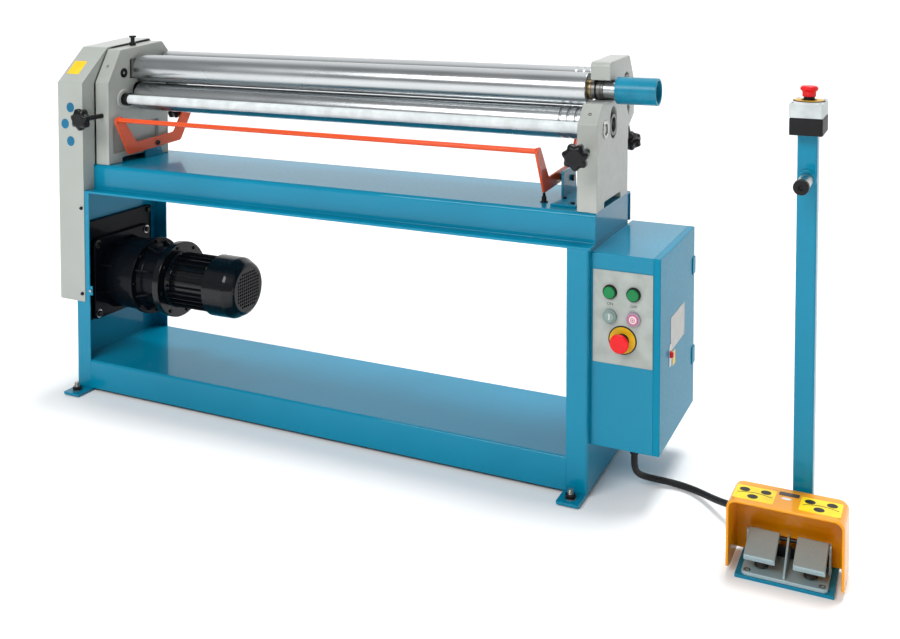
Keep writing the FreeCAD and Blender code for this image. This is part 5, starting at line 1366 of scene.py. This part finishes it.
pedal = {"middle": 1121, "pivot": (-238.5, 52), "tilt": 16, "wide": 55, "long": 72, "spread": 43,
         "floorPlate": 6, "castFront": -310.5, "castBack": -226.5, "castHalf": 75, "castTop": 13,
         "boltIn": 10, "boltRadius": 4, "springIn": 30, "springRadius": 11, "springTall": 17.2,
         "wire": 1.5, "springTurns": 5}


def makePedalBase():
    low, high = boxOf("pedal_base")
    x = pedal["middle"]
    half = pedal["castHalf"]
    front, back = pedal["castFront"], pedal["castBack"]
    y, z = pedal["pivot"]
    form = Form("bluePaint", "hammeredGrey", "zincPlate", "blackSteel")
    floor = pedal["floorPlate"]
    form.slab(rectangle((low[0], low[1]), (high[0], high[1]), 2), 0, floor, "Z", 1)
    spots = [(x + side * (half - pedal["boltIn"]), front + pedal["boltIn"]) for side in (-1, 1)]
    top, hole = pedal["castTop"], pedal["boltRadius"]
    form.slab(rectangle((x - half, front), (x + half, back), 9), floor, top, "Z", 1.6,
              [ring(hole, spot, 24) for spot in spots], finish=1)
    for spot in spots:  # bright spot faces round the two bolt holes
        form.slab(ring(6.4, spot, 28), top - 1, top + 0.25, "Z", 0.1,
                  [ring(hole + 0.1, spot, 24)], finish=2)
    rib = roundCorners([(front + 3, 12), (front + 3, 17.5, 2), (y - 8, z + 8, 4), (y + 8, z + 8, 5),
                        (y + 8, 12)])
    form.slab(rib, x - 2, x + 2, "X", 1, finish=1)
    for side in (-1, 1):
        ends = sorted((x + side * half, x + side * (half - 4)))
        ear = roundCorners([(y - 20, 12), (y - 9, z - 8, 6), (y - 8, z + 8, 6), (y + 8, z + 8, 5),
                            (y + 9, 12)])
        form.slab(ear, ends[0], ends[1], "X", 0.8, finish=1)
    form.block((x - half + 3, back - 5, 12), (x + half - 3, back, 34), "Y", 1.5, 0.8, 3)
    form.make("pedalCasting", "frame", "pedal_base")


def makePedals():
    y, z = pedal["pivot"]
    turn = ("X", pedal["tilt"], (0, y, z))
    toe = y - pedal["long"]
    half = pedal["wide"] / 2
    for side, name in ((-1, "left"), (1, "right")):
        x = pedal["middle"] + side * pedal["spread"]
        form = Form("hammeredGrey")
        form.block((x - half, toe, z + 5), (x + half, y, z + 13), "Z", 3, 1.8, turn=turn)
        form.block((x - half, toe, z + 2.2), (x + half, toe + 9, z + 9), "X", 1.6, turn=turn)
        for start in (x - half + 5, x + half - 9):  # two ribs under the tread
            form.block((start, toe + 16, z - 1), (start + 4, y - 4, z + 6), "X", 1, turn=turn)
        wall = [(-half, 4.15), (-half, 8, 1), (half, 8, 1), (half, 4.15)]
        form.lathe(roundCorners(wall, 4), (x, y, z), "X", 0, 36, True)
        form.block((x - half + 1, y - 10, z + 1), (x + half - 1, y, z + 8), "X", 1, turn=turn)
        form.make("pedal" + name.capitalize(), "pedal_" + name, "pedal_" + name)


def makePedalPin():
    low, high = boxOf("pedal_pins")
    y, z = pedal["pivot"]
    form = Form("blackSteel", "oiledSteel")
    form.lathe(roundCorners([(low[0], 0), (low[0], 4, 0.6), (high[0], 4, 0.6), (high[0], 0)], 3,
                            openEnded=True), (0, y, z), "X", 0, 28)
    radius, wire = pedal["springRadius"], pedal["wire"]
    springY = pedal["castFront"] + pedal["springIn"]
    turn = np.linspace(0, 2 * math.pi * pedal["springTurns"], 110)
    rise = pedal["castTop"] + wire + pedal["springTall"] * np.linspace(0, 1, 110)
    for side in (-1, 1):  # open coil springs on the casting, each a helix round its stud
        x = pedal["middle"] + side * pedal["spread"]
        coil = np.stack([x + radius * np.cos(turn), springY + radius * np.sin(turn), rise], 1)
        form.tube(coil, wire, 1, 8)
        form.lathe(roundCorners([(12, 0), (12, 5.2), (17, 4.6, 1), (17, 0)], 4, openEnded=True),
                   (x, springY, 0), "Z", 0, 28)
    form.make("pedalPinAndSprings", "frame", "pedal_pins")


hood = {"wall": 5, "corner": 15, "toeRise": 8, "drop": 6, "long": 97, "labelSpread": 58,
        "labelHalf": (36, 31), "dots": ((-20, 13), (18, 15), (-2, -14)), "dotRadius": 9.5}


def makeHood():
    low, high = boxOf("hood")
    half = hood["wall"] / 2
    middle = (low[0] + high[0]) / 2
    form = Form("hoodYellow", "stickerLemon", "inkBlack", "inkWhite", "nameplateDark")
    span = high[1] - low[1]

    def leanTop(points):
        # the crown sinks evenly toward the back, and the toes lift a little toward the front
        back = (points[..., 1] - low[1]) / span
        height = (points[..., 2] - low[2]) / (high[2] - low[2])
        points[..., 2] -= hood["drop"] * back * np.clip(height * 1.4 - 0.4, 0, 1)
        points[..., 2] += hood["toeRise"] * np.clip(0.3 - back, 0, 1) / 0.3 * np.clip(
            1 - height * 6, 0, 1)
        return points

    arch = bentSheet([(low[0] + half, low[2]), (low[0] + half, high[2] - half, hood["corner"]),
                      (high[0] - half, high[2] - half, hood["corner"]),
                      (high[0] - half, low[2])], hood["wall"], 10)
    rows = np.array([0, 0.6, 2, 24, 48, 72, 94.5, 96.4, 97]) / hood["long"] * span + low[1]
    insets = np.array([1.4, 0.5, 0, 0, 0, 0, 0, 0.5, 1.4])
    loops = np.stack([shrunk(arch, inset) for inset in insets])
    points = np.zeros(loops.shape[:2] + (3,))
    points[..., 0] = loops[..., 0]
    points[..., 1] = rows[:, None]
    points[..., 2] = loops[..., 1]
    form.add(leanTop(points), gridFaces(len(rows), len(arch), False, True), 0,
             ((0, 1, 0), (rows[0], rows[-1])))
    left, right, top = low[0] + 0.1, high[0] - 0.1, high[2] - hood["drop"]
    corner = hood["corner"] + half
    backPlate = roundCorners([(left, low[2]), (left, top, corner), (right, top, corner),
                              (right, low[2])], 10)
    form.slab(backPlate, high[1] - hood["wall"], high[1], "Y", 1.4)
    lean = -math.degrees(math.atan2(hood["drop"], span))
    y = (low[1] + high[1]) / 2 - 4
    z = high[2] - hood["drop"] * (y - low[1]) / span
    turn = ("X", lean, (0, y, z))
    wide, deep = hood["labelHalf"]
    bow = np.linspace(-1, 1, 24)
    for side in (-1, 1):  # yellow labels with three black dots and a bent line
        x = middle + side * hood["labelSpread"]
        form.slab(rectangle((x - wide, y - deep), (x + wide, y + deep), 4), z - 0.2, z + 0.3, "Z",
                  0.1, finish=1, turn=turn)
        for dx, dy in hood["dots"]:
            form.slab(ring(hood["dotRadius"], (x + dx, y + dy), 36), z + 0.2, z + 0.5, "Z", 0.08,
                      finish=2, turn=turn)
        line = np.stack([x + 31 * bow, y - 3 + 7 * np.cos(bow * 1.7)], 1)
        ribbon = np.concatenate([line + (0, 1), (line - (0, 1))[::-1]])
        form.slab(ribbon, z + 0.2, z + 0.5, "Z", 0.08, finish=2, turn=turn)
    form.slab(rectangle((middle - 18, y + 19), (middle + 18, y + 34), 1.5), z - 0.2, z + 0.5, "Z",
              0.15, finish=4, turn=turn)
    oval = ring(1, (0, 0), 36) * (9, 5) + (middle - 3, y + 6)
    form.slab(oval, z - 0.2, z + 0.4, "Z", 0.1, finish=3, turn=turn)
    form.make("pedalHood", "frame", "hood")


makePedalBase()
makePedals()
makePedalPin()
makeHood()
print("pedal unit made")

# glands with tapered strain relief at both ends of the cable

gland = {"nut": 13, "nutTall": 8, "cap": 11, "ribs": 18, "cabinetEnd": (790, -96, 109),
         "hoodEnd": (1042, -210.5, 50)}


def makeGland(name, node, centre, way):
    form = Form("blackPlastic")
    across, up, along = axesOf(way)
    nut, cap, tall = gland["nut"], gland["cap"], gland["nutTall"]
    form.lathe(roundCorners([(0, 0), (0, nut, 1), (tall, nut, 1), (tall, 0)], 3, openEnded=True),
               centre, way, around=6)
    form.lathe(roundCorners([(7, 0), (7, cap, 0.5), (13, cap, 2), (16, 9.6, 1), (16.6, 8.8, 0.4),
                             (17.2, 9.2, 0.4), (19.8, 7.6, 0.5), (19.8, 0)], 4, openEnded=True),
               centre, way, around=48)
    for turn in np.linspace(0, 2 * math.pi, gland["ribs"], endpoint=False):  # grip ribs
        side = np.cos(turn) * across + np.sin(turn) * up
        start = np.array(centre) + side * (cap - 0.3)
        form.tube(np.stack([start + along * 8.5, start + along * 13]), 0.8, around=6,
                  ahead=tuple(side))
    return form.make(name, "frame", node)


glands = [makeGland("cabinetGland", "cabinet_gland", gland["cabinetEnd"], (0, 0, -1)),
          makeGland("hoodGland", "hood_gland", gland["hoodEnd"], (0, 1, 0))]

# column with its stub, and the stop station on top

column = {"wall": 2, "corner": 4, "front": -202.5, "back": -167.5, "stub": (1139.5, 719),
          "stubRadius": 12.4, "stubLong": 80, "beadHalf": 17.6, "station": (1139.5, -185),
          "baseTall": 30, "screwSpots": (24, 43.5), "neckBore": 10.4}


def makeColumn():
    low, high = boxOf("column")
    front = column["front"]
    outline = rectangle((low[0], front), (high[0], column["back"]), column["corner"])
    form = Form("bluePaint", "zincPlate", "blackPlastic")
    form.slab(outline, low[2], high[2], "Z", 0.4, [shrunk(outline, column["wall"])])
    x, z = column["stub"]
    foot, way = (x, front, z), (0, -1, 0)
    radius, end = column["stubRadius"], column["stubLong"]
    form.lathe(roundCorners([(0, 12), (0, 17.8, 1.2), (4.6, 17.4, 1.5), (4.6, 12)], 4), foot, way,
               0, 48, True)
    form.lathe(roundCorners([(0, 0), (0, radius), (end, radius, 1), (end, 0)], 4, openEnded=True),
               foot, way, 1, 48)
    form.lathe(roundCorners([(end - 2, 0), (end - 2, 14, 0.8), (end + 12, 13.8, 2), (end + 12, 5),
                             (end + 9, 4.4), (end + 9, 0)], 5, openEnded=True), foot, way, 2, 48)
    # a weld bead round the foot: a circle widened by a third and cut off at a square
    turn = np.linspace(0, 2 * math.pi, 100)
    square = np.clip(1.35 * np.stack([np.cos(turn), np.sin(turn)], 1), -1, 1) * column["beadHalf"]
    bead = np.column_stack([square + column["station"], np.full(100, 6.6)])
    form.tube(bead, 1.6, 0, 8)
    form.make("columnTube", "frame", "column")


def makeStation():
    low, high = boxOf("station_box")
    x, y = column["station"]
    split = low[2] + column["baseTall"]
    form = Form("blackPlastic", "lightPlastic", "blackSteel")
    form.block(low, (high[0], high[1], split), "Z", 4, 1.2)
    form.block((low[0] + 0.6, low[1] + 0.6, split - 2), (high[0] - 0.6, high[1] - 0.6, split + 2),
               "Z", 4, 0, 0)
    form.block((low[0], low[1], split + 0.8), high, "Z", 4, 3, 1)
    outX, outY = column["screwSpots"]
    for sideX in (-1, 1):
        for sideY in (-1, 1):
            form.lathe([(0, 0), (0, 2.6), (0.3, 2.6), (0.3, 1.6), (-0.6, 1.2), (-0.6, 0)],
                       (x + sideX * outX, y + sideY * outY, high[2]), "Z", 2, 16)
    form.make("stationBox", "frame", "station_box")
    form = Form("yellowPlastic", "inkBlack", "blackPlastic")
    centre, hole = (x, y, high[2]), column["neckBore"]
    addWasher(form, [(0, hole), (0, 29, 0.3), (1.4, 29, 0.5), (1.4, hole)], centre, "Z", 1)
    addWasher(form, [(1, hole), (1, 26.6), (1.9, 26.4, 0.3), (1.9, hole)], centre, "Z", 0)
    form.lathe(roundCorners([(1, hole), (1, 14, 0.3), (3, 13.6, 0.5), (3, hole)], 3), centre, "Z",
               2, 48, True)
    form.make("stationRing", "frame", "station_ring")
    centre = (x, y, boxOf("station_head")[0][2] + 20)
    form = Form("redPlastic", "blackPlastic")
    form.lathe(roundCorners([(-20, 0), (-20, 10, 1), (1, 10), (1, 0)], 3, openEnded=True), centre,
               "Z", 1, 40)
    form.lathe(roundCorners([(0, 0), (0, 12, 0.8), (9.5, 12.6, 4), (12.5, 16, 1.4), (17, 16, 2.4),
                             (20, 13, 5), (20, 0)], 6, openEnded=True), centre, "Z", 0, 56)
    form.make("stationHead", "station_head", "station_head")


makeColumn()
makeStation()
print("column and station made")

# the CAD nodes get the same finishes as the pieces

slotFinish = {
    "blue_paint": "bluePaint",
    "grey_casting": "greyCasting",
    "grey_paint": "greyPaint",
    "ground_steel": "groundSteel",
    "bright_bar": "brightBar",
    "grey_iron": "machinedIron",
    "bronze": "oiledBronze",
    "blue_gloss": "blueSleeve",
    "black_steel": "blackSteel",
    "dark_steel": "oiledSteel",
    "zinc_screw": "zincPlate",
    "black_knob": "blackKnob",
    "black_paint": "blackPaint",
    "black_plastic": "blackPlastic",
    "orange_paint": "orangePaint",
    "panel_sheet": "panelSheet",
    "green_lens": "greenLens",
    "grey_button": "greyButton",
    "red_button": "redButton",
    "yellow_plastic": "yellowPlastic",
    "red_plastic": "redPlastic",
    "black_rubber": "blackRubber",
    "hammered_grey": "hammeredGrey",
    "hood_yellow": "hoodYellow",
    "light_plastic": "lightPlastic"}


def dressNodes():
    for node, thing in nodes.items():
        for place in thing.material_slots:
            place.material = finishes[slotFinish[slotOf[node]]]


dressNodes()
